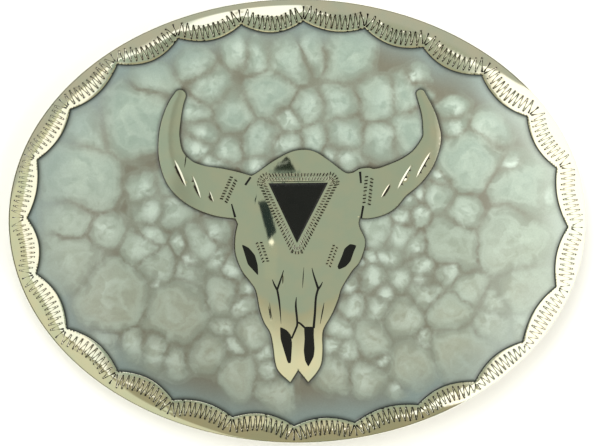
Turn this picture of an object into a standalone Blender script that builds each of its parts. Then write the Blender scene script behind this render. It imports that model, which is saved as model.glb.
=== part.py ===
"""Western belt buckle, lying face up on the hardware of its back.

An oval nickel-silver plate has a scalloped, engraved rim round a field of pearly resin. A cow skull of the
same metal stands in the field, with black fills in its forehead, eyes and nose. The back has a prong for the
belt's holes and a hinged bail for its strap. Dimensions are in millimetres, and the last step scales each
mesh to metres. +Z is up, +Y is the top of the face, and the origin is on the floor under the face's centre.
"""

import bisect
import math

import bmesh
import bpy
from mathutils import Matrix, Vector

# Driving dimensions
FACE_LENGTH = 95.25
FACE_HEIGHT = 73.0
CURVE_RADIUS = 380.0
BACK_HEIGHT = 9.5
GAP = 0.3
MM = 0.001

# Heights above the plate's back, before the plate is curved
FLOOR_TOP = 1.0
FIELD_TOP = 2.35
SKULL_TOP = 2.6
STONE_TOP = 2.75
FILL_TOP = 2.5
RIM_TOP = 2.55

# Scallops, anticlockwise from +X, as cut by hand: how far the first cusp is along the oval from even
# spacing, the rim's width at that cusp, and the rim's width at the middle of the scallop
SCALLOPS = (
    (0.0, 3.0, 4.45), (0.1, 3.3, 4.85), (0.0, 3.3, 4.9), (0.0, 3.4, 5.45),
    (0.5, 4.0, 5.4), (0.2, 3.75, 5.05), (0.0, 3.65, 5.4), (-0.2, 3.5, 5.0),
    (0.0, 3.05, 4.75), (0.45, 2.4, 4.3), (0.85, 2.95, 4.3), (0.7, 2.75, 4.2),
    (0.5, 3.15, 4.8), (0.0, 3.1, 4.85), (0.35, 3.0, 4.9), (1.2, 3.3, 4.9),
    (1.1, 3.3, 4.6), (0.9, 3.3, 4.55), (0.6, 2.8, 4.0), (0.0, 2.55, 4.0),
    (0.3, 2.75, 3.85), (-0.1, 2.0, 3.5), (-0.45, 2.05, 3.8), (-0.1, 2.6, 4.25),
)
FIRST_CUSP = -1.1
POINTS_PER_SCALLOP = 8
OVAL_STEPS = 7200
BEVEL_WIDTH = 1.3
BEVEL_PROFILE = ((0.25, 0.0), (0.0, 0.3), (0.0, 0.85), (0.3, 1.45), (0.8, 2.0), (BEVEL_WIDTH, 2.3))
CROWN_SHARE = 0.55
INNER_FALL = 0.08

# Engraved cuts
STROKES_PER_SCALLOP = 10
STROKE_LENGTH = 1.7
STROKE_EDGE = 0.65
STROKE_MARGIN = 0.45
STROKE_LEAN = 0.16
STROKE_WIDTH = 0.34
STROKE_DEPTH = 0.28
CUT_LIFT = 0.04

# Curving: the plate is bent in strips of one width, so that neighbours keep their gap
STRIPS = 16
STRIP_WIDTH = FACE_LENGTH / STRIPS

# Back hardware
WIRE_RADIUS = 1.4
BAIL_HALF_WIDTH = 20.9
HINGE_X = 13.0
BAIL_END_X = 35.0
BAIL_CORNER = 2.2
LEG_CLEARANCE = 0.48
WEAR_FLAT = 0.1
STRAP_LENGTH = 24.0
STRAP_THICKNESS = 0.8
STRAP_REACH = 6.0
STRAP_CLEARANCE = 0.35
PRONG_FOOT_X = -28.5
PRONG_TIP_X = -32.5
PRONG_ROOT_RADIUS = 1.8
PRONG_TIP_RADIUS = 1.35
FOOT_RADIUS = 4.2
FOOT_THICKNESS = 0.9
FOOT_TAPER = 0.4

# The skull's outline, as open chains that meet at corners, in X and Y on the face
CROWN = (
    (-7.9, 7.2), (-6.6, 7.9), (-3.9, 9.8), (-1.1, 11.3), (1.1, 11.7),
    (3.1, 11.3), (5.4, 9.8), (7.8, 8.0), (9.0, 7.9), (10.3, 8.3),
)
CHEEK_RIGHT = (
    (10.1, -0.3), (10.3, -1.2), (11.2, -3.5), (10.3, -6.6), (9.0, -8.2), (7.3, -11.0), (6.7, -12.9),
    (5.7, -15.3), (4.4, -17.6), (4.15, -19.0), (4.2, -21.0), (4.0, -23.3), (3.2, -24.9), (1.85, -26.45),
)
MUZZLE_NOTCH = (0.2, -24.45)
CHEEK_LEFT = (
    (-1.1, -26.5), (-2.9, -24.8), (-3.55, -23.3), (-3.95, -20.3), (-4.4, -18.3), (-5.4, -16.6),
    (-6.1, -14.5), (-6.7, -11.5), (-7.7, -9.9), (-9.1, -8.0), (-10.1, -5.2), (-10.1, -2.5), (-9.7, -0.5),
)
HORN_SEAM_RIGHT = ((10.6, 5.5), (10.8, 2.5))
HORN_SEAM_LEFT = ((-10.2, 0.6), (-10.7, 2.8), (-9.6, 4.8))

# Horns as stations from root to tip: X, Y and half the width
HORN_LEFT = (
    (-6.7, 3.6, 3.4), (-10.0, 4.2, 3.8), (-13.1, 4.8, 3.9), (-16.3, 5.8, 3.5), (-18.9, 7.6, 2.9),
    (-20.6, 10.5, 2.1), (-21.0, 13.8, 1.7), (-20.6, 16.7, 1.5), (-19.9, 19.1, 1.2), (-19.2, 20.6, 0.95),
)
HORN_RIGHT = (
    (8.6, 4.4, 3.2), (10.8, 4.5, 4.1), (13.6, 5.0, 3.9), (16.1, 6.5, 3.0), (18.6, 8.1, 2.55),
    (20.7, 10.3, 2.05), (22.1, 13.3, 1.55), (22.0, 15.6, 1.3), (21.5, 17.9, 1.05), (20.3, 20.9, 0.7),
)

# Openings through the skull for the black fills
STONE = ((-4.7, 6.2), (5.1, 6.3), (0.0, -3.65))
EYE_LEFT = (
    (-9.1, -3.8), (-7.9, -4.4), (-6.9, -5.6), (-6.45, -7.2), (-6.35, -9.0), (-8.1, -7.1), (-8.6, -5.4),
)
EYE_RIGHT = (
    (9.8, -4.0), (8.7, -3.75), (7.8, -4.5), (7.35, -5.8), (6.6, -7.5), (6.85, -8.0), (8.0, -7.5),
    (8.8, -6.6), (9.3, -5.1),
)
NOSTRIL_LEFT = (
    (-2.8, -17.35), (-1.7, -17.9), (-1.0, -18.7), (-0.8, -20.1), (-1.0, -23.4), (-1.5, -23.4), (-2.7, -19.4),
)
NOSTRIL_RIGHT = (
    (1.15, -17.35), (2.8, -17.35), (2.75, -18.7), (2.9, -21.0), (2.75, -22.3), (1.85, -24.0),
    (1.3, -22.9), (1.1, -21.3), (1.25, -19.4),
)

# Engraved lines of the skull as pairs of ends, with their widths
FACE_LINES = (
    ((-3.95, -9.75), (-3.35, -11.1), 0.4), ((-2.25, -8.2), (-3.15, -11.0), 0.4),
    ((-3.2, -11.5), (-2.7, -15.5), 0.4), ((2.5, -7.8), (3.35, -10.9), 0.4),
    ((4.15, -10.1), (3.55, -11.0), 0.4), ((3.35, -11.4), (2.85, -16.8), 0.5),
    ((-0.1, -12.7), (0.0, -16.7), 0.45), ((-0.05, -16.95), (-0.6, -18.0), 0.4),
    ((1.1, -7.9), (0.9, -10.9), 0.3), ((-4.5, -13.5), (-4.05, -16.1), 0.35),
    ((4.4, -13.5), (3.8, -16.8), 0.35),
)
HORN_LEFT_CUTS = (
    ((-20.2, 10.2), (-18.3, 5.6), 0.5), ((-17.2, 7.4), (-15.8, 3.7), 0.45),
    ((-14.4, 5.0), (-13.7, 3.2), 0.4),
)
HORN_RIGHT_CUTS = (
    ((22.0, 11.3), (19.7, 7.2), 0.5), ((18.9, 9.2), (16.6, 5.3), 0.45),
    ((15.2, 6.1), (13.9, 3.9), 0.4),
)
LINE_DEPTH = 0.35
BORDER_INSET = 0.75
BORDER_LENGTH = 0.8
BORDER_STROKES = 11


# Outlines

def smooth(points, steps):
    """Points of a Catmull-Rom curve through an open chain, both ends included."""
    chain = [Vector(point) for point in points]
    chain = [2 * chain[0] - chain[1], *chain, 2 * chain[-1] - chain[-2]]
    made = []
    for a, b, c, d in zip(chain, chain[1:], chain[2:], chain[3:]):
        for step in range(steps):
            t = step / steps
            cubic = (2 * a - 5 * b + 4 * c - d) * t * t + (3 * b - a - 3 * c + d) * t**3
            made.append(b + ((c - a) * t + cubic) / 2)
    made.append(chain[-2])
    return made


def signed_area(outline):
    """Positive where the outline runs anticlockwise."""
    return sum(a.cross(b) for a, b in zip(outline, outline[1:] + outline[:1])) / 2


def outset(outline, distance):
    """The outline grown by a distance, or shrunk by a negative one, with mitred corners."""
    turn = math.copysign(1, signed_area(outline))
    grown = []
    for before, here, after in zip(outline[-1:] + outline[:-1], outline, outline[1:] + outline[:1]):
        along, onward = (here - before).normalized(), (after - here).normalized()
        out = Vector((along.y, -along.x)) * turn
        middle = (out + Vector((onward.y, -onward.x)) * turn).normalized()
        grown.append(here + middle * distance / max(middle.dot(out), 0.4))
    return grown


def face_outline():
    """The skull without its horns, clockwise from the crown's left end."""
    return [
        *smooth(CROWN, 2),
        *(Vector(point) for point in HORN_SEAM_RIGHT),
        *smooth(CHEEK_RIGHT, 2),
        Vector(MUZZLE_NOTCH),
        *smooth(CHEEK_LEFT, 2),
        *(Vector(point) for point in HORN_SEAM_LEFT),
    ]


def horn_outline(stations):
    """Both edges of a tapering bent horn, joined by a round tip."""
    line = smooth(stations, 2)
    edges = [], []
    for index, station in enumerate(line):
        before, after = line[max(index - 1, 0)], line[min(index + 1, len(line) - 1)]
        along = (after - before).xy.normalized()
        across = Vector((-along.y, along.x)) * station.z
        edges[0].append(station.xy + across)
        edges[1].append(station.xy - across)
    spoke = edges[0][-1] - line[-1].xy
    cap = [line[-1].xy + Matrix.Rotation(-math.pi * step / 5, 2) @ spoke for step in range(1, 5)]
    return edges[0] + cap + edges[1][::-1]


def rim_stations():
    """Stations along every scallop: the oval's point, its outward normal and the rim's width there."""
    half = Vector((FACE_LENGTH / 2, FACE_HEIGHT / 2))
    turns = [2 * math.pi * step / OVAL_STEPS for step in range(OVAL_STEPS + 1)]
    points = [Vector((half.x * math.cos(t), half.y * math.sin(t))) for t in turns]
    lengths = [0.0]
    for a, b in zip(points, points[1:]):
        lengths.append(lengths[-1] + (b - a).length)
    pitch = lengths[-1] / len(SCALLOPS)
    cusps = [FIRST_CUSP + index * pitch + shift for index, (shift, _, _) in enumerate(SCALLOPS)]
    cusps.append(cusps[0] + lengths[-1])
    stations = []
    for index, (_, first, middle) in enumerate(SCALLOPS):
        last = SCALLOPS[(index + 1) % len(SCALLOPS)][1]
        bulge = middle - (first + last) / 2
        for step in range(POINTS_PER_SCALLOP):
            u = step / POINTS_PER_SCALLOP
            along = (cusps[index] + (cusps[index + 1] - cusps[index]) * u) % lengths[-1]
            point = points[bisect.bisect_left(lengths, along)]
            normal = Vector((point.x / half.x**2, point.y / half.y**2)).normalized()
            stations.append((point, normal, first + (last - first) * u + bulge * 4 * u * (1 - u)))
    return stations


def field_outline(stations, gap):
    """The scalloped edge of the field, shrunk by a gap."""
    return [point - normal * (width + gap) for point, normal, width in stations]


def rim_height(inset, width):
    """Height of the rim's top at a distance in from the oval's edge."""
    crown = BEVEL_WIDTH + CROWN_SHARE * (width - BEVEL_WIDTH)
    profile = [*BEVEL_PROFILE[2:], (crown, RIM_TOP), (width, RIM_TOP - INNER_FALL)]
    for (x0, z0), (x1, z1) in zip(profile, profile[1:]):
        if inset <= x1:
            return z0 + (z1 - z0) * (inset - x0) / (x1 - x0)
    return profile[-1][1]


# Meshes and objects

def linked(name, data):
    """A new object in the scene."""
    obj = bpy.data.objects.new(name, data)
    bpy.context.scene.collection.objects.link(obj)
    return obj


def as_mesh(obj):
    """The evaluated object as a plain mesh object of the same name, with its caps welded."""
    bpy.context.view_layer.update()
    graph = bpy.context.evaluated_depsgraph_get()
    mesh = bpy.data.meshes.new_from_object(obj.evaluated_get(graph))
    mesh.transform(obj.matrix_world)
    name = obj.name
    bpy.data.objects.remove(obj)
    bm = bmesh.new()
    bm.from_mesh(mesh)
    bmesh.ops.remove_doubles(bm, verts=bm.verts, dist=1e-4)
    bmesh.ops.recalc_face_normals(bm, faces=bm.faces)
    bm.to_mesh(mesh)
    bm.free()
    mesh.name = name
    return linked(name, mesh)


def slab(name, outline, low, high):
    """A flat outline extruded from one height to another."""
    curve = bpy.data.curves.new(name, "CURVE")
    curve.dimensions = "2D"
    curve.fill_mode = "BOTH"
    curve.extrude = (high - low) / 2
    spline = curve.splines.new("POLY")
    spline.points.add(len(outline) - 1)
    for point, (x, y) in zip(spline.points, outline):
        point.co = (x, y, 0, 1)
    spline.use_cyclic_u = True
    obj = linked(name, curve)
    obj.location.z = (low + high) / 2
    return as_mesh(obj)


def cut(obj, *cutters, operation="DIFFERENCE"):
    """obj with each cutter taken away, or added, and the cutters removed."""
    for cutter in cutters:
        boolean = obj.modifiers.new("cut", "BOOLEAN")
        boolean.operation = operation
        boolean.solver = "EXACT"
        boolean.object = cutter
        obj = as_mesh(obj)
        bpy.data.objects.remove(cutter)
    return obj


def engraved(name, lines, depth, height):
    """A cutter for burin cuts: a four-sided spindle for each (start, end, width), at the surface's height."""
    bm = bmesh.new()
    for start, end, width in lines:
        start, end = Vector(start), Vector(end)
        along = end - start
        middle = (start + end) / 2
        place = Matrix.Translation((*middle, height(middle) + CUT_LIFT))
        turn = Matrix.Rotation(math.atan2(along.y, along.x), 4, "Z")
        size = Matrix.Diagonal((along.length / 2, width / 2, depth, 1))
        bmesh.ops.create_uvsphere(bm, u_segments=4, v_segments=2, radius=1, matrix=place @ turn @ size)
    mesh = bpy.data.meshes.new(name)
    bm.to_mesh(mesh)
    bm.free()
    return linked(name, mesh)


def drop(x):
    """How far the curved plate lies below its middle, straight within each strip."""
    strip = math.floor(x / STRIP_WIDTH)
    x0, x1 = strip * STRIP_WIDTH, (strip + 1) * STRIP_WIDTH
    y0, y1 = (edge**2 / (2 * CURVE_RADIUS) for edge in (x0, x1))
    return y0 + (y1 - y0) * (x - x0) / STRIP_WIDTH


def curved(obj):
    """obj split at the strips' edges, curved with the plate and lifted to its height."""
    bm = bmesh.new()
    bm.from_mesh(obj.data)
    for strip in range(1 - STRIPS // 2, STRIPS // 2):
        geometry = bm.verts[:] + bm.edges[:] + bm.faces[:]
        plane = (strip * STRIP_WIDTH, 0, 0)
        bmesh.ops.bisect_plane(bm, geom=geometry, dist=1e-5, plane_co=plane, plane_no=(1, 0, 0))
    for vertex in bm.verts:
        vertex.co.z += BACK_HEIGHT - drop(vertex.co.x)
    bm.to_mesh(obj.data)
    bm.free()
    return obj


# Face

def plate(stations):
    """The metal tray: a flat back, a rounded bevel, the rim's crown and the floor of the field."""
    bm = bmesh.new()
    rings = []
    for inset, height in BEVEL_PROFILE:
        rings.append([(point - normal * inset, height) for point, normal, _ in stations])
    for share in (CROWN_SHARE, 1):
        ring = []
        for point, normal, width in stations:
            inset = BEVEL_WIDTH + share * (width - BEVEL_WIDTH)
            ring.append((point - normal * inset, rim_height(inset, width)))
        rings.append(ring)
    rings.append([(point, FLOOR_TOP) for point in field_outline(stations, 0)])
    loops = [[bm.verts.new((*point, height)) for point, height in ring] for ring in rings]
    for lower, upper in zip(loops, loops[1:]):
        for index in range(len(lower)):
            onward = (index + 1) % len(lower)
            bm.faces.new((lower[index], lower[onward], upper[onward], upper[index]))
    bm.faces.new(loops[0])
    bm.faces.new(loops[-1])
    bmesh.ops.recalc_face_normals(bm, faces=bm.faces)
    mesh = bpy.data.meshes.new("plate")
    bm.to_mesh(mesh)
    bm.free()
    return linked("plate", mesh)


def rim_strokes(stations):
    """A zigzag of cuts along each scallop, as far in from its edge all the way."""
    dense = len(stations)

    def on_rim(share, from_edge):
        """The point at a share of the way round, a distance out from the field's edge."""
        place = share * dense
        first = stations[int(place) % dense]
        second = stations[(int(place) + 1) % dense]
        t = place % 1
        point = first[0].lerp(second[0], t)
        normal = first[1].lerp(second[1], t).normalized()
        width = first[2] + (second[2] - first[2]) * t
        return point - normal * max(width - from_edge, STROKE_MARGIN)

    lines = []
    count = len(SCALLOPS) * STROKES_PER_SCALLOP
    for stroke in range(count):
        lean = STROKE_LEAN if stroke % 2 else -STROKE_LEAN
        inner = on_rim((stroke + 0.5 - lean) / count, STROKE_EDGE)
        outer = on_rim((stroke + 0.5 + lean) / count, STROKE_EDGE + STROKE_LENGTH)
        lines.append((inner, outer, STROKE_WIDTH))
    return lines


def stone_border():
    """Short cuts square to each side of the forehead's stone."""
    corners = [Vector(corner) for corner in STONE]
    centre = sum(corners, Vector((0, 0))) / 3
    lines = []
    for start, end in zip(corners, corners[1:] + corners[:1]):
        along = (end - start).normalized()
        out = Vector((along.y, -along.x))
        if out.dot(start - centre) < 0:
            out = -out
        for stroke in range(BORDER_STROKES):
            foot = start.lerp(end, (stroke + 0.5) / BORDER_STROKES) + out * BORDER_INSET
            lines.append((foot, foot + out * BORDER_LENGTH, STROKE_WIDTH))
    return lines


def build_face():
    """Everything that shows from the front, curved with the plate."""
    stations = rim_stations()
    face = face_outline()
    horns = {"horn_left": horn_outline(HORN_LEFT), "horn_right": horn_outline(HORN_RIGHT)}
    horn_cuts = {"horn_left": HORN_LEFT_CUTS, "horn_right": HORN_RIGHT_CUTS}
    fills = {
        "forehead_stone": (STONE, STONE_TOP),
        "eye_left": (EYE_LEFT, FILL_TOP),
        "eye_right": (EYE_RIGHT, FILL_TOP),
        "nostril_left": (NOSTRIL_LEFT, FILL_TOP),
        "nostril_right": (NOSTRIL_RIGHT, FILL_TOP),
    }
    low, high = FLOOR_TOP + GAP, STONE_TOP + 1

    metal = material("nickel_silver", (0.62, 0.60, 0.50), 1.0, 0.22)
    pearl = material("pearl_resin", (0.47, 0.53, 0.46), 0.0, 0.15)
    black = material("black_resin", (0.012, 0.012, 0.012), 0.0, 0.2)

    strokes = engraved(
        "strokes", rim_strokes(stations), STROKE_DEPTH, lambda point: stroke_height(point, stations)
    )
    finished(curved(cut(plate(stations), strokes)), metal)

    field = slab("pearl_inlay", field_outline(stations, GAP), low, FIELD_TOP)
    for name, outline in {"face": face, **horns}.items():
        field = cut(field, slab("hole_" + name, outset(outline, GAP), 0, high))
    finished(curved(field), pearl)

    skull = slab("skull_face", face, low, SKULL_TOP)
    for name, (outline, top) in fills.items():
        outline = [Vector(point) for point in outline]
        skull = cut(skull, slab("hole_" + name, outset(outline, GAP / 2), 0, high))
        finished(curved(slab(name, outset(outline, -GAP / 2), low, top)), black)
    lines = (*FACE_LINES, *stone_border())
    skull = cut(skull, engraved("lines", lines, LINE_DEPTH, lambda point: SKULL_TOP))
    finished(curved(skull), metal)

    for name, outline in horns.items():
        horn = cut(slab(name, outline, low, SKULL_TOP), slab("hole_face", outset(face, GAP), 0, high))
        horn = cut(horn, engraved("cuts", horn_cuts[name], LINE_DEPTH, lambda point: SKULL_TOP))
        finished(curved(horn), metal)
    return metal


def stroke_height(point, stations):
    """Height of the rim under a point, from the nearest station."""
    outer, normal, width = min(stations, key=lambda station: (station[0] - point).length)
    return rim_height((outer - point).dot(normal), width)


# Back

def back_height(x):
    """Height of the plate's back at x."""
    return BACK_HEIGHT - drop(x)


def rounded(corners, radius, steps):
    """A closed path through corners, each rounded by an arc."""
    path = []
    for before, here, after in zip(corners[-1:] + corners[:-1], corners, corners[1:] + corners[:1]):
        back, on = (before - here).normalized(), (after - here).normalized()
        half_angle = back.angle(on) / 2
        centre = here + (back + on).normalized() * radius / math.sin(half_angle)
        start = here + back * radius / math.tan(half_angle) - centre
        end = here + on * radius / math.tan(half_angle) - centre
        path.extend(centre + start.slerp(end, step / steps) * radius for step in range(steps + 1))
    return path


def hinge_height():
    """Height of the bail's pivot, its wire just clear of the plate."""
    return back_height(HINGE_X) - GAP - WIRE_RADIUS


def bail():
    """A wire loop: its legs lie along the plate, then turn down to a bar that stands off it by a belt."""
    leg_end = back_height(BAIL_END_X) - LEG_CLEARANCE - WIRE_RADIUS
    bar = WIRE_RADIUS - WEAR_FLAT
    side = [(HINGE_X, hinge_height()), (BAIL_END_X, leg_end), (BAIL_END_X, bar)]
    corners = [Vector((x, -BAIL_HALF_WIDTH, z)) for x, z in side]
    corners += [Vector((x, BAIL_HALF_WIDTH, z)) for x, z in reversed(side)]
    path = rounded(corners, BAIL_CORNER, 5)
    curve = bpy.data.curves.new("bail", "CURVE")
    curve.dimensions = "3D"
    curve.bevel_depth = WIRE_RADIUS
    curve.bevel_resolution = 4
    spline = curve.splines.new("POLY")
    spline.points.add(len(path) - 1)
    for point, place in zip(spline.points, path):
        point.co = (*place, 1)
    spline.use_cyclic_u = True
    return trimmed(as_mesh(linked("bail", curve)), 0, 1)


def trimmed(obj, height, side):
    """The part of obj above a height, or below it where side is -1, closed by a flat face."""
    bm = bmesh.new()
    bm.from_mesh(obj.data)
    geometry = bm.verts[:] + bm.edges[:] + bm.faces[:]
    made = bmesh.ops.bisect_plane(
        bm, geom=geometry, dist=1e-5, plane_co=(0, 0, height), plane_no=(0, 0, side), clear_inner=True
    )
    rim = [edge for edge in made["geom_cut"] if isinstance(edge, bmesh.types.BMEdge)]
    bmesh.ops.holes_fill(bm, edges=rim, sides=0)
    bmesh.ops.recalc_face_normals(bm, faces=bm.faces)
    bm.to_mesh(obj.data)
    bm.free()
    return obj


def hinge_strap():
    """A strip of metal folded over the bail's pivot, its two flanges soldered to the plate."""
    inner, outer = WIRE_RADIUS + STRAP_CLEARANCE, WIRE_RADIUS + STRAP_CLEARANCE + STRAP_THICKNESS
    top = WIRE_RADIUS
    turns = [math.pi * (1 + step / 10) for step in range(11)]
    under = [Vector((math.cos(turn), math.sin(turn))) for turn in turns]
    outline = [
        Vector((-STRAP_REACH, top)),
        Vector((-inner, top)),
        *(inner * spoke for spoke in under),
        Vector((inner, top)),
        Vector((STRAP_REACH, top)),
        Vector((STRAP_REACH, top - STRAP_THICKNESS)),
        Vector((outer, top - STRAP_THICKNESS)),
        *(outer * spoke for spoke in reversed(under)),
        Vector((-outer, top - STRAP_THICKNESS)),
        Vector((-STRAP_REACH, top - STRAP_THICKNESS)),
    ]
    strap = slab("hinge_strap", outline, -STRAP_LENGTH / 2, STRAP_LENGTH / 2)
    slope = math.atan(HINGE_X / CURVE_RADIUS)
    upright = Matrix.Rotation(math.pi / 2, 4, "X")
    place = Matrix.Translation((HINGE_X, 0, hinge_height())) @ Matrix.Rotation(slope, 4, "Y") @ upright
    strap.data.transform(place)
    return strap


def prong():
    """A tapered peg that leans away from the bail, on a round foot that follows the plate."""
    bm = bmesh.new()
    place = Matrix.Translation((PRONG_FOOT_X, 0, -GAP - FOOT_THICKNESS / 2))
    bmesh.ops.create_cone(
        bm, cap_ends=True, segments=28, radius1=FOOT_RADIUS - FOOT_TAPER, radius2=FOOT_RADIUS,
        depth=FOOT_THICKNESS, matrix=place,
    )
    mesh = bpy.data.meshes.new("prong")
    bm.to_mesh(mesh)
    bm.free()
    foot = curved(linked("prong", mesh))

    root = Vector((PRONG_FOOT_X, 0, back_height(PRONG_FOOT_X) - GAP - FOOT_THICKNESS / 2))
    tip = Vector((PRONG_TIP_X, 0, 0))
    along = (root - tip).normalized() * PRONG_ROOT_RADIUS
    bm = bmesh.new()
    turn = along.to_track_quat("Z", "Y").to_matrix().to_4x4()
    bmesh.ops.create_cone(
        bm, cap_ends=True, segments=20, radius1=PRONG_TIP_RADIUS, radius2=PRONG_ROOT_RADIUS,
        depth=(root - tip + 2 * along).length, matrix=Matrix.Translation((root + tip) / 2) @ turn,
    )
    mesh = bpy.data.meshes.new("peg")
    bm.to_mesh(mesh)
    bm.free()
    peg = trimmed(trimmed(linked("peg", mesh), 0, 1), root.z, -1)
    return cut(foot, peg, operation="UNION")


# Materials and the finished part

def material(name, colour, metallic, roughness):
    """A Principled material."""
    made = bpy.data.materials.new(name)
    made.use_nodes = True
    shader = made.node_tree.nodes["Principled BSDF"]
    shader.inputs["Base Color"].default_value = (*colour, 1)
    shader.inputs["Metallic"].default_value = metallic
    shader.inputs["Roughness"].default_value = roughness
    made.diffuse_color = (*colour, 1)
    return made


def finished(obj, surface, origin=(0, 0, 0)):
    """obj in metres, with its origin and material, smooth apart from its edges, in the part's collection."""
    obj.data.transform(Matrix.Scale(MM, 4) @ Matrix.Translation(-Vector(origin)))
    obj.location = Vector(origin) * MM
    obj.data.materials.clear()
    obj.data.materials.append(surface)
    obj.data.shade_smooth()
    obj.data.set_sharp_from_angle(angle=math.radians(28))
    bpy.context.scene.collection.objects.unlink(obj)
    bpy.data.collections["belt_buckle"].objects.link(obj)
    return obj


def main():
    for obj in list(bpy.data.objects):
        bpy.data.objects.remove(obj)
    bpy.context.scene.collection.children.link(bpy.data.collections.new("belt_buckle"))
    metal = build_face()
    finished(bail(), metal, origin=(HINGE_X, 0, hinge_height()))
    finished(hinge_strap(), metal)
    finished(prong(), metal)


main()
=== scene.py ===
"""The looks of the western belt buckle: polished and engraved metal, pearly resin, and the hardware of its back.

Shapes are worked out in millimetres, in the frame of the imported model, and each mesh is scaled to metres. Heights
on the face are measured from the plate's back, and lift() adds the plate's own curved height.
"""

import math
import random

import bmesh
import bpy
import numpy as np
from mathutils import Matrix, Vector, noise
from mathutils.geometry import delaunay_2d_cdt


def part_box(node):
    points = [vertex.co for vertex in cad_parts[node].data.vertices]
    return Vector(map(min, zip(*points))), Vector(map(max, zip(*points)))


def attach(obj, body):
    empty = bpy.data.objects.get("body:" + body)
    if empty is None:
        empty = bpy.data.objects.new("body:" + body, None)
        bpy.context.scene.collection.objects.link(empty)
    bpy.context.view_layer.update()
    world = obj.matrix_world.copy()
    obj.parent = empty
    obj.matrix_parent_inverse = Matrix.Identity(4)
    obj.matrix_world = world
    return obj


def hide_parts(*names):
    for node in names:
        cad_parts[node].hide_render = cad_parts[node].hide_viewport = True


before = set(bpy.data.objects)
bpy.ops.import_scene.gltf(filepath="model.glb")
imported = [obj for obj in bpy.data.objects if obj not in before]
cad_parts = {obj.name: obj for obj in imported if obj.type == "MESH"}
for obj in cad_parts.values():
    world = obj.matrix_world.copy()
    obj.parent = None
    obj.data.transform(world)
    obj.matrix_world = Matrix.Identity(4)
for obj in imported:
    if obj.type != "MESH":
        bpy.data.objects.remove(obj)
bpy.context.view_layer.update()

MM = 0.001
random.seed(24)

# The plate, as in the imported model
HALF_LENGTH = 47.625
HALF_HEIGHT = 36.5
CURVE_RADIUS = 380.0
BACK_HEIGHT = 9.5
FLOOR_TOP = 1.0
FIELD_BASE = 1.1
FIELD_TOP = 2.42
SKULL_TOP = 2.6
RIM_TOP = 2.55

# Scallops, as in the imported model: shift of the first cusp, the rim's width there and at the scallop's middle
SCALLOPS = (
    (0.0, 3.0, 4.45), (0.1, 3.3, 4.85), (0.0, 3.3, 4.9), (0.0, 3.4, 5.45),
    (0.5, 4.0, 5.4), (0.2, 3.75, 5.05), (0.0, 3.65, 5.4), (-0.2, 3.5, 5.0),
    (0.0, 3.05, 4.75), (0.45, 2.4, 4.3), (0.85, 2.95, 4.3), (0.7, 2.75, 4.2),
    (0.5, 3.15, 4.8), (0.0, 3.1, 4.85), (0.35, 3.0, 4.9), (1.2, 3.3, 4.9),
    (1.1, 3.3, 4.6), (0.9, 3.3, 4.55), (0.6, 2.8, 4.0), (0.0, 2.55, 4.0),
    (0.3, 2.75, 3.85), (-0.1, 2.0, 3.5), (-0.45, 2.05, 3.8), (-0.1, 2.6, 4.25),
)
FIRST_CUSP = -1.1

# Rim: its bevel as (inset, height), the top's inset, its crown, and the side below it as (inset, height)
BEVEL = ((0.0, 1.75), (0.1, 1.87), (0.3, 2.0), (0.9, 2.265), (1.4, 2.39))
BEVEL_SHARE = 0.6
TOP_INSET = 0.12
CROWN_SHARE = 0.5
INNER_FALL = 0.014
LIP = 0.1
SIDE_PROFILE = ((0.05, 1.82), (0.015, 1.72), (0.006, 1.6), (0.006, 0.3), (0.03, 0.16), (0.1, 0.06), (0.25, 0.0))
RIM_STEPS = 24

# Engraving: tips of the rim's zigzag for each scallop, where they start, how long they are and how far they fan
RIM_TIPS = 22
STROKE_START = (0.28, 0.65)
STROKE_LENGTH = 2.55
STROKE_FAN = 0.6
STROKE_MARGIN = 0.4
SIDE_WAIST = 0.08
TOP_WAIST = 0.45
SIDE_FULLNESS = 0.78
TOP_FULLNESS = 0.26

# Half width, depth and darkening of each kind of cut; the darkening is partly stain and partly painted shade
RIM_CUT = (0.18, 0.16, 1.0)
HATCH_CUT = (0.1, 0.088, 1.0)
SHALLOW_CUT = (0.1, 0.064, 0.8)
LINE_CUT = (0.05, 0.045, 0.9)
FINE_CUT = (0.1, 0.1, 0.9)
# Share of a cut's darkening taken by its outline: painted shade over the cut's walls and the metal beside them
PAINTED_OUTLINE_SHADE = 0.28

# Bright cuts of the horns: the mirroring facet's width for each millimetre of length, its slope, and the width of the
# narrow facet that is darkened with painted shade
MIRROR_FACET = 0.058
MIRROR_SLOPE = 0.095
PAINTED_SHADE_FACET = 0.15

# How full a cut is along its length: a pushed graver digs in at the middle, a short tick is full throughout
CUT_SHARES = (0.0, 0.06, 0.25, 0.5, 0.75, 0.94, 1.0)
PUSHED = (0.0, 0.35, 0.85, 1.0, 0.85, 0.35, 0.0)
TICK = (0.0, 0.75, 1.0, 1.0, 1.0, 0.75, 0.0)

# Skull: outline chains, horn stations with half widths, and openings for black fills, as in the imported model
CROWN = (
    (-7.9, 7.2), (-6.6, 7.9), (-3.9, 9.8), (-1.1, 11.3), (1.1, 11.7),
    (3.1, 11.3), (5.4, 9.8), (7.8, 8.0), (9.0, 7.9), (10.3, 8.3),
)
CHEEK_RIGHT = (
    (10.1, -0.3), (10.3, -1.2), (11.2, -3.5), (10.3, -6.6), (9.0, -8.2), (7.3, -11.0), (6.7, -12.9),
    (5.7, -15.3), (4.4, -17.6), (4.15, -19.0), (4.2, -21.0), (4.0, -23.3), (3.2, -24.9), (1.85, -26.45),
)
MUZZLE_NOTCH = (0.2, -24.45)
CHEEK_LEFT = (
    (-1.1, -26.5), (-2.9, -24.8), (-3.55, -23.3), (-3.95, -20.3), (-4.4, -18.3), (-5.4, -16.6),
    (-6.1, -14.5), (-6.7, -11.5), (-7.7, -9.9), (-9.1, -8.0), (-10.1, -5.2), (-10.1, -2.5), (-9.7, -0.5),
)
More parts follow.
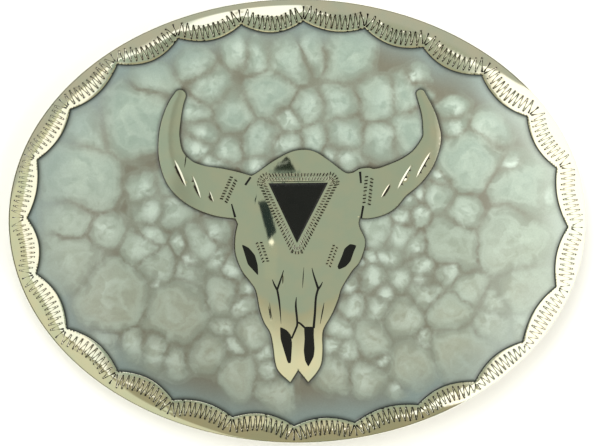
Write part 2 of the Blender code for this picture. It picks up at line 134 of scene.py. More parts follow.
HORN_SEAM_RIGHT = ((10.6, 5.5), (10.8, 2.5))
HORN_SEAM_LEFT = ((-10.2, 0.6), (-10.7, 2.8), (-9.6, 4.8))
HORN_LEFT = (
    (-6.7, 3.6, 3.4), (-10.0, 4.2, 3.8), (-13.1, 4.8, 3.9), (-16.3, 5.8, 3.5), (-18.9, 7.6, 2.9),
    (-20.6, 10.5, 2.1), (-21.0, 13.8, 1.7), (-20.6, 16.7, 1.5), (-19.9, 19.1, 1.2), (-19.2, 20.6, 0.95),
)
HORN_RIGHT = (
    (8.6, 4.4, 3.2), (10.8, 4.5, 4.1), (13.6, 5.0, 3.9), (16.1, 6.5, 3.0), (18.6, 8.1, 2.55),
    (20.7, 10.3, 2.05), (22.1, 13.3, 1.55), (22.0, 15.6, 1.3), (21.5, 17.9, 1.05), (20.3, 20.9, 0.7),
)
HORN_RIDGE = 0.015
STONE = ((-4.7, 6.2), (0.0, -3.65), (5.1, 6.3))
EYE_LEFT = ((-9.1, -3.8), (-7.9, -4.4), (-6.9, -5.6), (-6.45, -7.2), (-6.35, -9.0), (-8.1, -7.1), (-8.6, -5.4))
EYE_RIGHT = (
    (9.8, -4.0), (8.7, -3.75), (7.8, -4.5), (7.35, -5.8), (6.6, -7.5), (6.85, -8.0), (8.0, -7.5),
    (8.8, -6.6), (9.3, -5.1),
)
NOSTRIL_LEFT = (
    (-2.8, -17.35), (-1.7, -17.9), (-1.0, -18.7), (-0.8, -20.1), (-1.0, -23.4), (-1.5, -23.4), (-2.7, -19.4),
)
NOSTRIL_RIGHT = (
    (1.15, -17.35), (2.8, -17.35), (2.75, -18.7), (2.9, -21.0), (2.75, -22.3), (1.85, -24.0),
    (1.3, -22.9), (1.1, -21.3), (1.25, -19.4),
)

# Black cracks as (X, Y, width) along each
CRACKS = (
    ((-4.05, -9.6, 0.1), (-3.75, -10.4, 0.26), (-3.27, -11.3, 0.34)),
    ((-2.2, -8.1, 0.1), (-2.6, -9.4, 0.26), (-3.27, -11.3, 0.34)),
    ((-3.27, -11.2, 0.34), (-2.95, -13.0, 0.32), (-2.75, -15.0, 0.2), (-2.62, -16.9, 0.04)),
    ((2.45, -7.7, 0.1), (2.75, -8.9, 0.26), (3.5, -11.2, 0.4)),
    ((4.2, -10.0, 0.1), (3.9, -10.6, 0.26), (3.5, -11.2, 0.34)),
    ((3.5, -11.0, 0.36), (3.1, -12.6, 0.36), (2.95, -15.0, 0.38), (2.72, -17.6, 0.42)),
    ((-0.1, -12.5, 0.1), (-0.2, -14.0, 0.34), (0.05, -16.7, 0.34), (-0.2, -17.7, 0.34), (-0.9, -19.3, 0.3)),
    ((0.0, -16.6, 0.3), (0.55, -16.85, 0.32), (1.3, -17.55, 0.34)),
    ((1.12, -7.6, 0.04), (1.0, -9.4, 0.16), (0.9, -11.0, 0.04)),
    ((4.45, -13.4, 0.05), (4.2, -14.8, 0.22), (3.8, -16.9, 0.06)),
    ((-4.5, -13.4, 0.04), (-4.35, -14.8, 0.16), (-4.05, -16.2, 0.04)),
    ((-7.6, 7.2, 0.34), (-8.5, 5.9, 0.36)),
    ((-10.75, 2.8, 0.22), (-10.15, 0.6, 0.4)),
    ((10.35, 8.1, 0.4), (10.5, 6.2, 0.3)),
    ((10.88, 2.5, 0.36), (10.5, 0.3, 0.32)),
)

# Engraving of the skull: (start, end) of the horns' bright cuts and fine lines, then hatched bands
HORN_CUTS = (
    ((-20.25, 10.2), (-18.2, 5.5)), ((-17.2, 7.5), (-15.8, 3.6)), ((-14.4, 5.0), (-13.7, 3.1)),
    ((22.0, 11.4), (19.6, 7.1)), ((18.9, 9.3), (16.5, 5.2)), ((15.3, 6.2), (13.8, 3.8)),
)
FINE_LINES = (
    ((-18.15, 11.3), (-18.5, 8.6)), ((-2.3, -8.6), (-2.35, -10.6)), ((-4.7, -13.9), (-4.25, -16.4)),
)
HATCHES = (
    ((-10.3, 7.2), (-12.1, 3.2), 1.5, 9), ((11.9, 7.5), (11.4, 2.7), 1.5, 8),
    ((-6.35, -3.3), (-5.1, -6.8), 1.2, 7), ((6.4, -3.9), (5.1, -7.4), 1.0, 7),
)
BORDER_ROWS = ((0.36, 0.94, SHALLOW_CUT), (1.02, 1.62, HATCH_CUT))
BORDER_PITCH = 0.45
BORDER_SPOKES = (-0.75, -0.45, -0.15, 0.15, 0.45, 0.75)
BEZEL_WIDTH = 0.24

# Back hardware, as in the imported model
WIRE_RADIUS = 1.4
BAIL_HALF_WIDTH = 20.9
HINGE_X = 13.0
BAIL_END_X = 35.0
BAIL_CORNER = 2.2
GAP = 0.3
BAIL_GAP = 0.53
STRAP_LENGTH = 24.0
STRAP_THICKNESS = 0.8
STRAP_REACH = 6.0
STRAP_CLEARANCE = 0.35
PRONG_FOOT_X = -28.5
PRONG_TIP_X = -32.5
FOOT_RADIUS = 4.2
FOOT_THICKNESS = 0.9

# View: the camera's height over the face, and the width and centre of what it sees
CAMERA_HEIGHT = 900.0
VIEW_WIDTH = 98.5
VIEW_CENTRE = (0.49, -0.33)
SENSOR = 36.0


# Plane geometry, on arrays of points

def smooth(points, steps):
    """Points of a Catmull-Rom curve through an open chain, both ends included."""
    chain = np.array(points, float)
    chain = np.vstack([2 * chain[0] - chain[1], chain, 2 * chain[-1] - chain[-2]])
    made = []
    for a, b, c, d in zip(chain, chain[1:], chain[2:], chain[3:]):
        for t in np.arange(steps) / steps:
            cubic = (2 * a - 5 * b + 4 * c - d) * t * t + (3 * b - a - 3 * c + d) * t**3
            made.append(b + ((c - a) * t + cubic) / 2)
    made.append(chain[-2])
    return np.array(made)


def unit(vectors):
    """Each vector at length 1."""
    return vectors / np.linalg.norm(vectors, axis=-1, keepdims=True)


def left_of(vectors):
    """Each vector turned a quarter turn anticlockwise."""
    return np.stack([-vectors[..., 1], vectors[..., 0]], axis=-1)


def dense(loop, spacing):
    """A closed outline with extra points, so that none are further apart than the spacing."""
    made = []
    for a, b in zip(loop, np.roll(loop, -1, axis=0)):
        count = max(1, math.ceil(np.linalg.norm(b - a) / spacing))
        made.extend(a + (b - a) * step / count for step in range(count))
    return np.array(made)


def inside(points, loop):
    """Which points lie inside a closed outline."""
    found = np.zeros(len(points), bool)
    x, y = points[:, 0], points[:, 1]
    for (x0, y0), (x1, y1) in zip(loop, np.roll(loop, -1, axis=0)):
        if y0 != y1:
            found ^= ((y0 > y) != (y1 > y)) & (x < x0 + (y - y0) * (x1 - x0) / (y1 - y0))
    return found


def distance(points, starts, ends):
    """Distance of each point from the nearest of some segments."""
    nearest = np.full(len(points), 1e9)
    for a, b in zip(starts, ends):
        along = b - a
        share = np.clip((points - a) @ along / max(along @ along, 1e-12), 0, 1)
        nearest = np.minimum(nearest, np.linalg.norm(points - a - share[:, None] * along, axis=1))
    return nearest


def grid(low, high, pitch):
    """Points of a triangular grid over a box."""
    rows = np.arange(low[1], high[1], pitch * 0.866)
    made = []
    for index, y in enumerate(rows):
        xs = np.arange(low[0] + (index % 2) * pitch / 2, high[0], pitch)
        made.append(np.stack([xs, np.full(len(xs), y)], axis=1))
    return np.vstack(made)


def strip(stations):
    """The outline of a line that changes width, from (X, Y, width) along it."""
    line = smooth(stations, 3)
    along = unit(np.gradient(line[:, :2], axis=0))
    across = left_of(along) * line[:, 2:] / 2
    return np.vstack([line[:, :2] - across, (line[:, :2] + across)[::-1]])


# The oval and its rim

OVAL_TURNS = np.linspace(0, 2 * math.pi, 7201)
OVAL_POINTS = np.stack([HALF_LENGTH * np.cos(OVAL_TURNS), HALF_HEIGHT * np.sin(OVAL_TURNS)], axis=1)
OVAL_LENGTHS = np.concatenate([[0], np.cumsum(np.linalg.norm(np.diff(OVAL_POINTS, axis=0), axis=1))])


def oval(lengths):
    """Points and outward normals of the oval at lengths along it."""
    turns = np.interp(np.asarray(lengths) % OVAL_LENGTHS[-1], OVAL_LENGTHS, OVAL_TURNS)
    points = np.stack([HALF_LENGTH * np.cos(turns), HALF_HEIGHT * np.sin(turns)], axis=-1)
    return points, unit(points / (HALF_LENGTH**2, HALF_HEIGHT**2))


def scallop_cusps():
    """Where each scallop starts along the oval, and where the last one ends."""
    pitch = OVAL_LENGTHS[-1] / len(SCALLOPS)
    cusps = [FIRST_CUSP + index * pitch + shift for index, (shift, _, _) in enumerate(SCALLOPS)]
    return np.array(cusps + [cusps[0] + OVAL_LENGTHS[-1]])


CUSPS = scallop_cusps()
CUSP_WIDTHS = np.array([first for _, first, _ in SCALLOPS] + [SCALLOPS[0][1]])
BULGES = np.array([middle for _, _, middle in SCALLOPS]) - (CUSP_WIDTHS[1:] + CUSP_WIDTHS[:-1]) / 2


def rim_width(lengths):
    """The rim's width at lengths along the oval, and how fast it grows along it."""
    lengths = (np.asarray(lengths) - CUSPS[0]) % OVAL_LENGTHS[-1] + CUSPS[0]
    index = np.clip(np.searchsorted(CUSPS, lengths, side="right") - 1, 0, len(SCALLOPS) - 1)
    reach = CUSPS[index + 1] - CUSPS[index]
    u = (lengths - CUSPS[index]) / reach
    rise = CUSP_WIDTHS[index + 1] - CUSP_WIDTHS[index]
    width = CUSP_WIDTHS[index] + rise * u + BULGES[index] * 4 * u * (1 - u)
    return width, (rise + BULGES[index] * 4 * (1 - 2 * u)) / reach


def rim_stations():
    """The oval's points, outward normals and rim widths, evenly spaced within each scallop."""
    steps = np.arange(len(SCALLOPS) * RIM_STEPS) / RIM_STEPS
    lengths = np.interp(steps, np.arange(len(CUSPS)), CUSPS)
    points, normals = oval(lengths)
    return points, normals, rim_width(lengths)[0]


def oval_lengths(points):
    """For points on the rim: their length along the oval and their distance in from it."""
    turns = np.arctan2(points[:, 1] * HALF_LENGTH, points[:, 0] * HALF_HEIGHT)
    for _ in range(8):
        cos, sin = np.cos(turns), np.sin(turns)
        offset = np.stack([HALF_LENGTH * cos, HALF_HEIGHT * sin], axis=1) - points
        slope = np.stack([-HALF_LENGTH * sin, HALF_HEIGHT * cos], axis=1)
        bend = np.stack([-HALF_LENGTH * cos, -HALF_HEIGHT * sin], axis=1)
        turns -= (offset * slope).sum(1) / ((slope**2).sum(1) + (offset * bend).sum(1))
    return np.interp(turns % (2 * math.pi), OVAL_TURNS, OVAL_LENGTHS), np.linalg.norm(offset, axis=1)


def bevel_and_crown(width):
    """How wide the rim's bevel is, and how far in its crown lies."""
    bevel = np.minimum(BEVEL[-1][0], BEVEL_SHARE * width)
    return bevel, np.maximum(CROWN_SHARE * width, 1.25 * bevel)


def rim_height(points):
    """Height of the rim's polished top."""
    lengths, inset = oval_lengths(points)
    width, _ = rim_width(lengths)
    bevel, crown = bevel_and_crown(width)
    insets, heights = np.transpose(BEVEL)
    height = np.interp(inset * insets[-1] / bevel, insets, heights)
    height += (RIM_TOP - heights[-1]) * np.clip((inset - bevel) / (crown - bevel), 0, 1)
    inner = np.clip((inset - crown) / (width - crown), 0, 1)
    lip = np.clip((inset - width + LIP) / LIP, 0, 1)
    return height - INNER_FALL * (0.6 * inner + 0.4 * inner**2) - 0.01 * lip**2


def lift(x):
    """Height of the curved plate's back."""
    return BACK_HEIGHT - x**2 / (2 * CURVE_RADIUS)


# Engraved cuts: each is an outline with its darkening, and a middle line with its depths and darkening

def groove(start, end, shape, left, right):
    """The outline and middle line of a cut that reaches so far to the left and right of its middle."""
    start, end = np.asarray(start, float), np.asarray(end, float)
    across = left_of(unit(end - start)) * np.array(shape)[:, None]
    middle = start + np.outer(CUT_SHARES, end - start)
    rights, lefts = middle - across * right, middle + across * left
    return np.vstack([middle[:1], rights[1:-1], middle[-1:], lefts[-2:0:-1]]), middle


def rocked(waist):
    """How full a rocked graver's cut is along its length: it digs in at both ends."""
    return (0.0, 1.0, 0.5 + waist / 2, waist, 0.5 + waist / 2, 1.0, 0.0)


def stroke(start, end, cut, shape):
    """One cut of the graver, as full along its length as its shape says."""
    half_width, depth, stain = cut
    fullness = np.array(shape) * random.uniform(0.85, 1.15)
    outline, middle = groove(start, end, fullness, half_width, half_width)
    # The middle line is darkened partly as stain and partly as painted shade, the outline as painted shade
    stains = np.array(shape) * stain
    return outline, PAINTED_OUTLINE_SHADE * np.concatenate([stains, stains[-2:0:-1]]), middle, fullness * depth, stains


def bright_cut(start, end):
    """A long cut with a wide mirroring facet toward the skull and a narrow one away from it, darkened with painted
    shade.
    """
    away = 1 if start[0] < 0 else -1
    downward = sorted((start, end), key=lambda point: -point[1])
    mirror = MIRROR_FACET * math.dist(start, end)
    reach = (mirror, PAINTED_SHADE_FACET) if away > 0 else (PAINTED_SHADE_FACET, mirror)
    outline, middle = groove(*downward, PUSHED, *reach)
    # The narrow facet is darkened with painted shade, the mirroring facet not at all
    stains = np.array(PUSHED) * 0.2
    dark, bright = stains * 5, stains * 0
    rights, lefts = (dark, bright) if away > 0 else (bright, dark)
    return outline, np.concatenate([rights, lefts[-2:0:-1]]), middle, np.array(PUSHED) * mirror * MIRROR_SLOPE, stains


def rim_cuts():
    """The zigzag that fans along every scallop, and one stroke at each cusp."""
    made = []
    for start, end, width_there in zip(CUSPS, CUSPS[1:], CUSP_WIDTHS):
        u = np.linspace(0.004, 0.996, RIM_TIPS + 1)
        u[1:-1] += [random.uniform(-0.12, 0.12) / RIM_TIPS for _ in u[1:-1]]
        lengths = start + (end - start) * u
        points, normals = oval(lengths)
        width, growth = rim_width(lengths)
        lean = unit(normals + left_of(normals) * (growth * STROKE_FAN)[:, None])
        nearest = np.interp(abs(normals[:, 0]), (0.3, 0.95), STROKE_START)
        reach = nearest + STROKE_LENGTH * (np.arange(RIM_TIPS + 1) % 2)
        reach = np.minimum(reach + [random.uniform(-0.12, 0.12) for _ in reach], width - STROKE_MARGIN)
        tips = points - normals * width[:, None] + lean * reach[:, None]
        facing = normals[RIM_TIPS // 2, 1] ** 2
        shape = np.array(rocked(SIDE_WAIST + TOP_WAIST * facing)) * (SIDE_FULLNESS + TOP_FULLNESS * facing)
        made += [stroke(a, b, RIM_CUT, shape) for a, b in zip(tips, tips[1:])]
        cusp, normal = oval(start)
        cusp = cusp - normal * width_there
        outer_end = cusp + normal * min(2.5, width_there - STROKE_MARGIN)
        made.append(stroke(cusp + normal * 0.5, outer_end, RIM_CUT, shape))
    return made


def stone_border():
    """Two rows of short strokes along the sides of the forehead's stone, fanned round its corners."""
    corners = np.array(STONE)
    made = []
    for start, end in zip(corners, np.roll(corners, -1, axis=0)):
        along = unit(end - start)
        out = -left_of(along)
        for row, (near, far, cut) in enumerate(BORDER_ROWS):
            reach = np.linalg.norm(end - start)
            count = round(reach / BORDER_PITCH) + row
            for index in range(count):
                share = (index + 0.5) / count
                place = start + (end - start) * share
                spread = along * (share - 0.5) * 1.6
                jitter = along * random.uniform(-0.05, 0.05)
                made.append(stroke(
                    place + out * near + spread * near + jitter, place + out * far + spread * far + jitter,
                    cut, TICK,
                ))
        corner_out = unit(end - corners.mean(axis=0))
        for turn in BORDER_SPOKES if end[1] > 0 else BORDER_SPOKES[1:-1]:
            spoke = np.array(Matrix.Rotation(turn, 2) @ Vector(corner_out))
            for near, far, cut in BORDER_ROWS:
                made.append(stroke(end + spoke * (near + 0.25), end + spoke * (far + 0.25), cut, TICK))
    bezel = corners[[0, 2]] + (0, BEZEL_WIDTH)
    made.append(stroke(*bezel, LINE_CUT, TICK))
    return made


def hatch(start, end, width, count):
    """Two columns of short strokes across a band."""
    start, end = np.array(start), np.array(end)
    across = left_of(unit(end - start)) * width / 2
    made = []
    for side, shift in ((-1, 0.3), (1, 0.7)):
        for index in range(count):
            place = start + (end - start) * (index + shift + random.uniform(-0.1, 0.1)) / count
            tip = place + (end - start) * 0.25 / count
            made.append(stroke(place + across * side * 0.2, tip + across * side, HATCH_CUT, TICK))
    return made


def skull_cuts():
    """All the engraving of the skull."""
    made = stone_border()
    made += [bright_cut(start, end) for start, end in HORN_CUTS]
    made += [stroke(start, end, FINE_CUT, PUSHED) for start, end in FINE_LINES]
    for band in HATCHES:
        made += hatch(*band)
    return made


# Meshes

def triangulated(loops, points, cuts=()):
    """Triangles of the plane that keep loops and cuts as edges, and each point's depth of cut and darkening."""
    coords, edges, marks = [], [], []

    def chain(line, closed, line_marks):
        first = len(coords)
        coords.extend(Vector(point) for point in line)
        marks.extend(line_marks)
        edges.extend((first + index, first + index + 1) for index in range(len(line) - 1))
        if closed:
            edges.append((len(coords) - 1, first))

    for loop in loops:
        chain(loop, True, [(0, 0)] * len(loop))
    for outline, outline_stains, middle, depths, stains in cuts:
        chain(outline, True, [(0, stain) for stain in outline_stains])
        chain(middle, False, list(zip(depths, stains)))
    coords.extend(Vector(point) for point in points)
    marks.extend([(0, 0)] * len(points))
    verts, _, faces, origins, _, _ = delaunay_2d_cdt(coords, edges, [], 0, 1e-5, True)
    made_marks = [max((marks[index] for index in origin), default=(0, 0)) for origin in origins]
    return np.array([tuple(vert) for vert in verts]), np.array(faces), np.array(made_marks)


def clear_of(points, cuts, gap):
    """The points that aren't on or beside a cut."""
    starts = np.array([middle[0] for _, _, middle, _, _ in cuts])
    ends = np.array([middle[-1] for _, _, middle, _, _ in cuts])
    return points[distance(points, starts, ends) > gap]


def used_only(points, triangles, *values):
    """Points and values with those that no triangle uses left out."""
    used, numbered = np.unique(triangles, return_inverse=True)
    return (points[used], numbered.reshape(triangles.shape), *(value[used] for value in values))


def border_edges(triangles):
    """The directed edges that only one triangle has."""
    edges = np.vstack([triangles[:, (0, 1)], triangles[:, (1, 2)], triangles[:, (2, 0)]])
    known = set(map(tuple, edges.tolist()))
    return [(a, b) for a, b in known if (b, a) not in known]


def new_object(name, verts, faces, material, body, slot, *nodes, angle=30, **values):
    """A piece in metres, smooth apart from its edges, riding on a body in place of some nodes.

    values are numbers for each vertex, which its material reads by name.
    """
    mesh = bpy.data.meshes.new(name)
    mesh.from_pydata([tuple(vert) for vert in np.asarray(verts) * MM], [], [tuple(face) for face in faces])
    for key, numbers in values.items():
        layer = mesh.attributes.new(key, "FLOAT", "POINT")
        layer.data.foreach_set("value", np.asarray(numbers, np.float32))
    mesh.materials.append(material)
    mesh.shade_smooth()
    mesh.set_sharp_from_angle(angle=math.radians(angle))
    obj = bpy.data.objects.new(name, mesh)
    bpy.context.scene.collection.objects.link(obj)
    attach(obj, body)
    if nodes:
        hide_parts(*nodes)
    return obj


def solid(points, triangles, top, base):
    """A closed solid over triangles of the plane, from a base height to a top height for each point."""
    count = len(points)
    curved = lift(points[:, 0])
    upper = np.column_stack([points, curved + top])
    lower = np.column_stack([points, curved + base])
    faces = triangles.tolist() + (triangles[:, ::-1] + count).tolist()
    faces += [(b, a, a + count, b + count) for a, b in border_edges(triangles)]
    return np.vstack([upper, lower]), faces


def joined_rings(rings, first, faces):
    """Quads between rings of points that follow one another in a list, numbered from first."""
    count = len(rings[0])
    for ring in range(len(rings) - 1):
        for index in range(count):
            a, b = first + ring * count + index, first + ring * count + (index + 1) % count
            faces.append((a, b, b + count, a + count))


# Node trees

class Nodes:
    """Short calls for building a node tree."""

    def __init__(self, tree):
        self.tree = tree
        tree.nodes.clear()

    def add(self, kind, *values, out=0, named=None, **settings):
        """A new node's output socket. values fill the inputs in order, and named fills them by name."""
        node = self.tree.nodes.new(kind)
        for key, value in settings.items():
            setattr(node, key, value)
        pairs = [*zip(node.inputs, values), *((node.inputs[key], value) for key, value in (named or {}).items())]
        for socket, value in pairs:
            if isinstance(value, bpy.types.NodeSocket):
                self.tree.links.new(value, socket)
            elif value is not None:
                socket.default_value = value
        return node.outputs[out]

    def math(self, operation, *values):
        return self.add("ShaderNodeMath", *values, operation=operation)

    def ease(self, value, low, high, to_low=0.0, to_high=1.0):
        """A smooth step from to_low at low to to_high at high."""
        return self.add(
            "ShaderNodeMapRange", value, low, high, to_low, to_high, interpolation_type="SMOOTHSTEP"
        )

    def mix(self, share, first, second, blend="MIX"):
        """Two colours mixed."""
        node = self.tree.nodes.new("ShaderNodeMix")
        node.data_type = "RGBA"
        node.blend_type = blend
        for socket, value in zip((node.inputs[0], node.inputs[6], node.inputs[7]), (share, first, second)):
            if isinstance(value, bpy.types.NodeSocket):
                self.tree.links.new(value, socket)
            elif isinstance(value, tuple):
                socket.default_value = (*value, 1)
            else:
                socket.default_value = value
        return node.outputs[2]

    def noise(self, place, scale, detail=2.0, roughness=0.5, distortion=0.0, colour=False):
        return self.add(
            "ShaderNodeTexNoise", place, out=1 if colour else 0,
            named={"Scale": scale, "Detail": detail, "Roughness": roughness, "Distortion": distortion},
        )

    def millimetres(self):
        """The object's own coordinates in millimetres."""
        place = self.add("ShaderNodeTexCoord", out=3)
        return self.add("ShaderNodeVectorMath", place, (1000, 1000, 1000), operation="MULTIPLY")

    def value(self, name):
        """A number that the mesh carries for each vertex."""
        return self.add("ShaderNodeAttribute", out=2, attribute_name=name)


def new_material(name):
    """A material with an empty tree, its Principled shader wired to the output, and the shader's inputs."""
    material = bpy.data.materials.new(name)
    material.use_nodes = True
    nodes = Nodes(material.node_tree)
    output = material.node_tree.nodes.new("ShaderNodeOutputMaterial")
    shader = material.node_tree.nodes.new("ShaderNodeBsdfPrincipled")
    material.node_tree.links.new(shader.outputs[0], output.inputs[0])
    return material, nodes, shader


def wired(nodes, shader, **values):
    """Values or sockets set on the shader's inputs, with underscores for spaces in their names."""
    for key, value in values.items():
        socket = shader.inputs[key.replace("_", " ")]
        if isinstance(value, bpy.types.NodeSocket):
            nodes.tree.links.new(value, socket)
        else:
            socket.default_value = value


def polished_metal(name, colour, shade, roughness, scratches):
    """Polished nickel silver: a mirror with a painted mottling of reflections, hairline scratches, cuts darkened
    partly as stain and partly as painted shade, and edges darkened as painted shade.
    """
    material, nodes, shader = new_material(name)
    place = nodes.millimetres()
    # Painted reflections: the tint is mottled between the two colours
    mottled_reflection = nodes.noise(place, 0.3, 3.0)
    tint = nodes.mix(nodes.ease(mottled_reflection, 0.3, 0.7), colour, shade)
    # Cuts are darkened partly as stain and partly as painted shade; the edges of the rim and skull as painted shade
    stain = nodes.ease(nodes.value("stain"), 0.12, 0.6)
    tint = nodes.mix(stain, tint, STAIN_AND_SHADE)
    stretched = nodes.add("ShaderNodeMapping", place, named={"Rotation": (0, 0, 0.05), "Scale": (4, 0.35, 1)})
    hairs = nodes.noise(stretched, 1.0, 3.0, 0.7)
    gloss = nodes.add("ShaderNodeMapRange", hairs, 0.35, 0.75, roughness * 0.8, roughness * 1.4)
    gloss = nodes.math("MULTIPLY_ADD", stain, 0.4, gloss)
    bump = nodes.add("ShaderNodeBump", named={"Strength": scratches, "Distance": 0.000001, "Height": hairs})
    wired(nodes, shader, Base_Color=tint, Metallic=1.0, Roughness=gloss, Normal=bump)
    return material


def brushed_metal(name, colour, stain, roughness):
    """Nickel silver as the back of such a buckle has it: satin, brushed lengthwise, and stained in places."""
    material, nodes, shader = new_material(name)
    place = nodes.millimetres()
    stretched = nodes.add("ShaderNodeMapping", place, named={"Scale": (0.12, 7, 7)})
    brushed = nodes.noise(stretched, 1.0, 4.0, 0.75)
    stains = nodes.ease(nodes.noise(place, 0.09, 5.0, 0.6, 0.6), 0.5, 0.72)
    pores = nodes.ease(nodes.noise(place, 3.0, 2.0), 0.66, 0.72)
    tint = nodes.mix(nodes.math("MULTIPLY", stains, 0.6), colour, stain)
    tint = nodes.mix(nodes.math("MULTIPLY", pores, 0.3), tint, stain)
    gloss = nodes.add("ShaderNodeMapRange", brushed, 0.3, 0.7, roughness * 0.75, roughness * 1.3)
    bump = nodes.add("ShaderNodeBump", named={"Strength": 0.35, "Distance": 0.00003, "Height": brushed})
    wired(nodes, shader, Base_Color=tint, Metallic=1.0, Roughness=gloss, Normal=bump)
    return material


def black_enamel(name, colour, fleck):
    """Polished black resin with a few dull specks."""
    material, nodes, shader = new_material(name)
    place = nodes.millimetres()
    specks = nodes.ease(nodes.noise(place, 5.0, 2.0), 0.68, 0.75)
    haze = nodes.noise(place, 0.5, 3.0)
    tint = nodes.mix(nodes.math("MULTIPLY", specks, 0.5), colour, fleck)
    gloss = nodes.add("ShaderNodeMapRange", haze, 0.3, 0.7, 0.1, 0.2)
    bump = nodes.add("ShaderNodeBump", named={"Strength": 0.2, "Distance": 0.00002, "Height": haze})
    wired(nodes, shader, Base_Color=tint, Roughness=gloss, Normal=bump, Specular_IOR_Level=0.25)
    return material


def pearl_resin(name):
    """Pearly resin that has settled into pale rounded cells with darker seams."""
    material, nodes, shader = new_material(name)
    place = nodes.millimetres()
    x, y = (nodes.add("ShaderNodeSeparateXYZ", place, out=axis) for axis in (0, 1))
    warp = nodes.add(
        "ShaderNodeVectorMath", nodes.noise(place, 0.3, 2.0, colour=True), (0.5, 0.5, 0.5), operation="SUBTRACT"
    )
    warp = nodes.add("ShaderNodeVectorMath", warp, named={"Scale": 4.0}, operation="SCALE")
    warped = nodes.add("ShaderNodeVectorMath", place, warp, operation="ADD")

    depth = nodes.value("inner")
    ragged = nodes.math("MULTIPLY_ADD", nodes.noise(place, 1.0, 3.0), 0.5, nodes.math("SUBTRACT", depth, 0.25))
    cell = nodes.ease(ragged, -0.1, 0.65)
    strength = nodes.ease(nodes.noise(place, 0.16, 2.0), 0.35, 0.65, 0.4, 1.0)
    strength = nodes.math("MULTIPLY", strength, nodes.ease(x, 26.0, 42.0, 1.0, 0.6))
    seam = nodes.math("MULTIPLY", nodes.math("SUBTRACT", 1.0, cell), strength)
    seam = nodes.math("MAXIMUM", seam, nodes.ease(depth, 0.0, -0.8))
    swirl = nodes.noise(warped, 0.3, 3.0, 0.5, 0.6)
    folds = nodes.ease(swirl, 0.4, 0.65)
    rings = nodes.math("SINE", nodes.math("MULTIPLY_ADD", swirl, 9.0, nodes.math("MULTIPLY", depth, 2.6)))
    rings = nodes.math("MULTIPLY", nodes.ease(rings, 0.2, 1.0), nodes.ease(depth, 0.4, 1.4))
    glow = nodes.math("MULTIPLY", nodes.value("glow"), nodes.ease(nodes.noise(warped, 0.5, 2.0), 0.35, 0.6))

    across = nodes.math("POWER", nodes.math("DIVIDE", x, 43.0), 2.0)
    up = nodes.math("POWER", nodes.math("DIVIDE", y, 32.0), 2.0)
    out_from = nodes.math("MULTIPLY_ADD", nodes.noise(place, 0.1, 2.0), 0.3, nodes.math("ADD", across, up))
    margin = nodes.ease(out_from, 0.88, 1.2)
    margin_tint = nodes.mix(nodes.ease(x, 24.0, 40.0), PEARL_MARGIN, PEARL_PALE_MARGIN)

    ground = nodes.mix(margin, PEARL_SEAM, margin_tint)
    body = nodes.mix(nodes.ease(y, 15.0, -20.0), PEARL, PEARL_WARM)
    body = nodes.mix(nodes.ease(depth, 2.2, 0.0), body, PEARL_SHADE)
    body = nodes.mix(nodes.math("MULTIPLY", folds, 0.4), body, PEARL_LIGHT)
    body = nodes.mix(nodes.math("MULTIPLY", rings, 0.25), body, PEARL_LIGHT)
    body = nodes.mix(nodes.math("MULTIPLY", glow, 0.75), body, PEARL_GLOW)
    body = nodes.mix(nodes.math("MULTIPLY", margin, 0.6), body, margin_tint)
    colour = nodes.mix(seam, body, ground)
    # Painted shade on the resin beside the metal
    shade = nodes.ease(nodes.value("shade"), 0.0, 0.9, 1.0, 0.3)
    sparkle = nodes.add("ShaderNodeMapRange", nodes.noise(place, 4.0, 2.0), 0.3, 0.7, 0.95, 1.05)
    # Painted light over the resin, with a faint random sparkle
    lustre = nodes.math("MULTIPLY", nodes.value("lustre"), sparkle)
    colour = nodes.mix(1.0, colour, nodes.math("MULTIPLY", shade, lustre), blend="MULTIPLY")
    height = nodes.math("MULTIPLY_ADD", swirl, 0.3, cell)
    bump = nodes.add("ShaderNodeBump", named={"Strength": 0.2, "Distance": 0.0001, "Height": height})
    wired(
        nodes, shader, Base_Color=colour, Metallic=0.15, Roughness=0.42, Normal=bump,
        Coat_Weight=1.0, Coat_Roughness=0.04,
    )
    return material


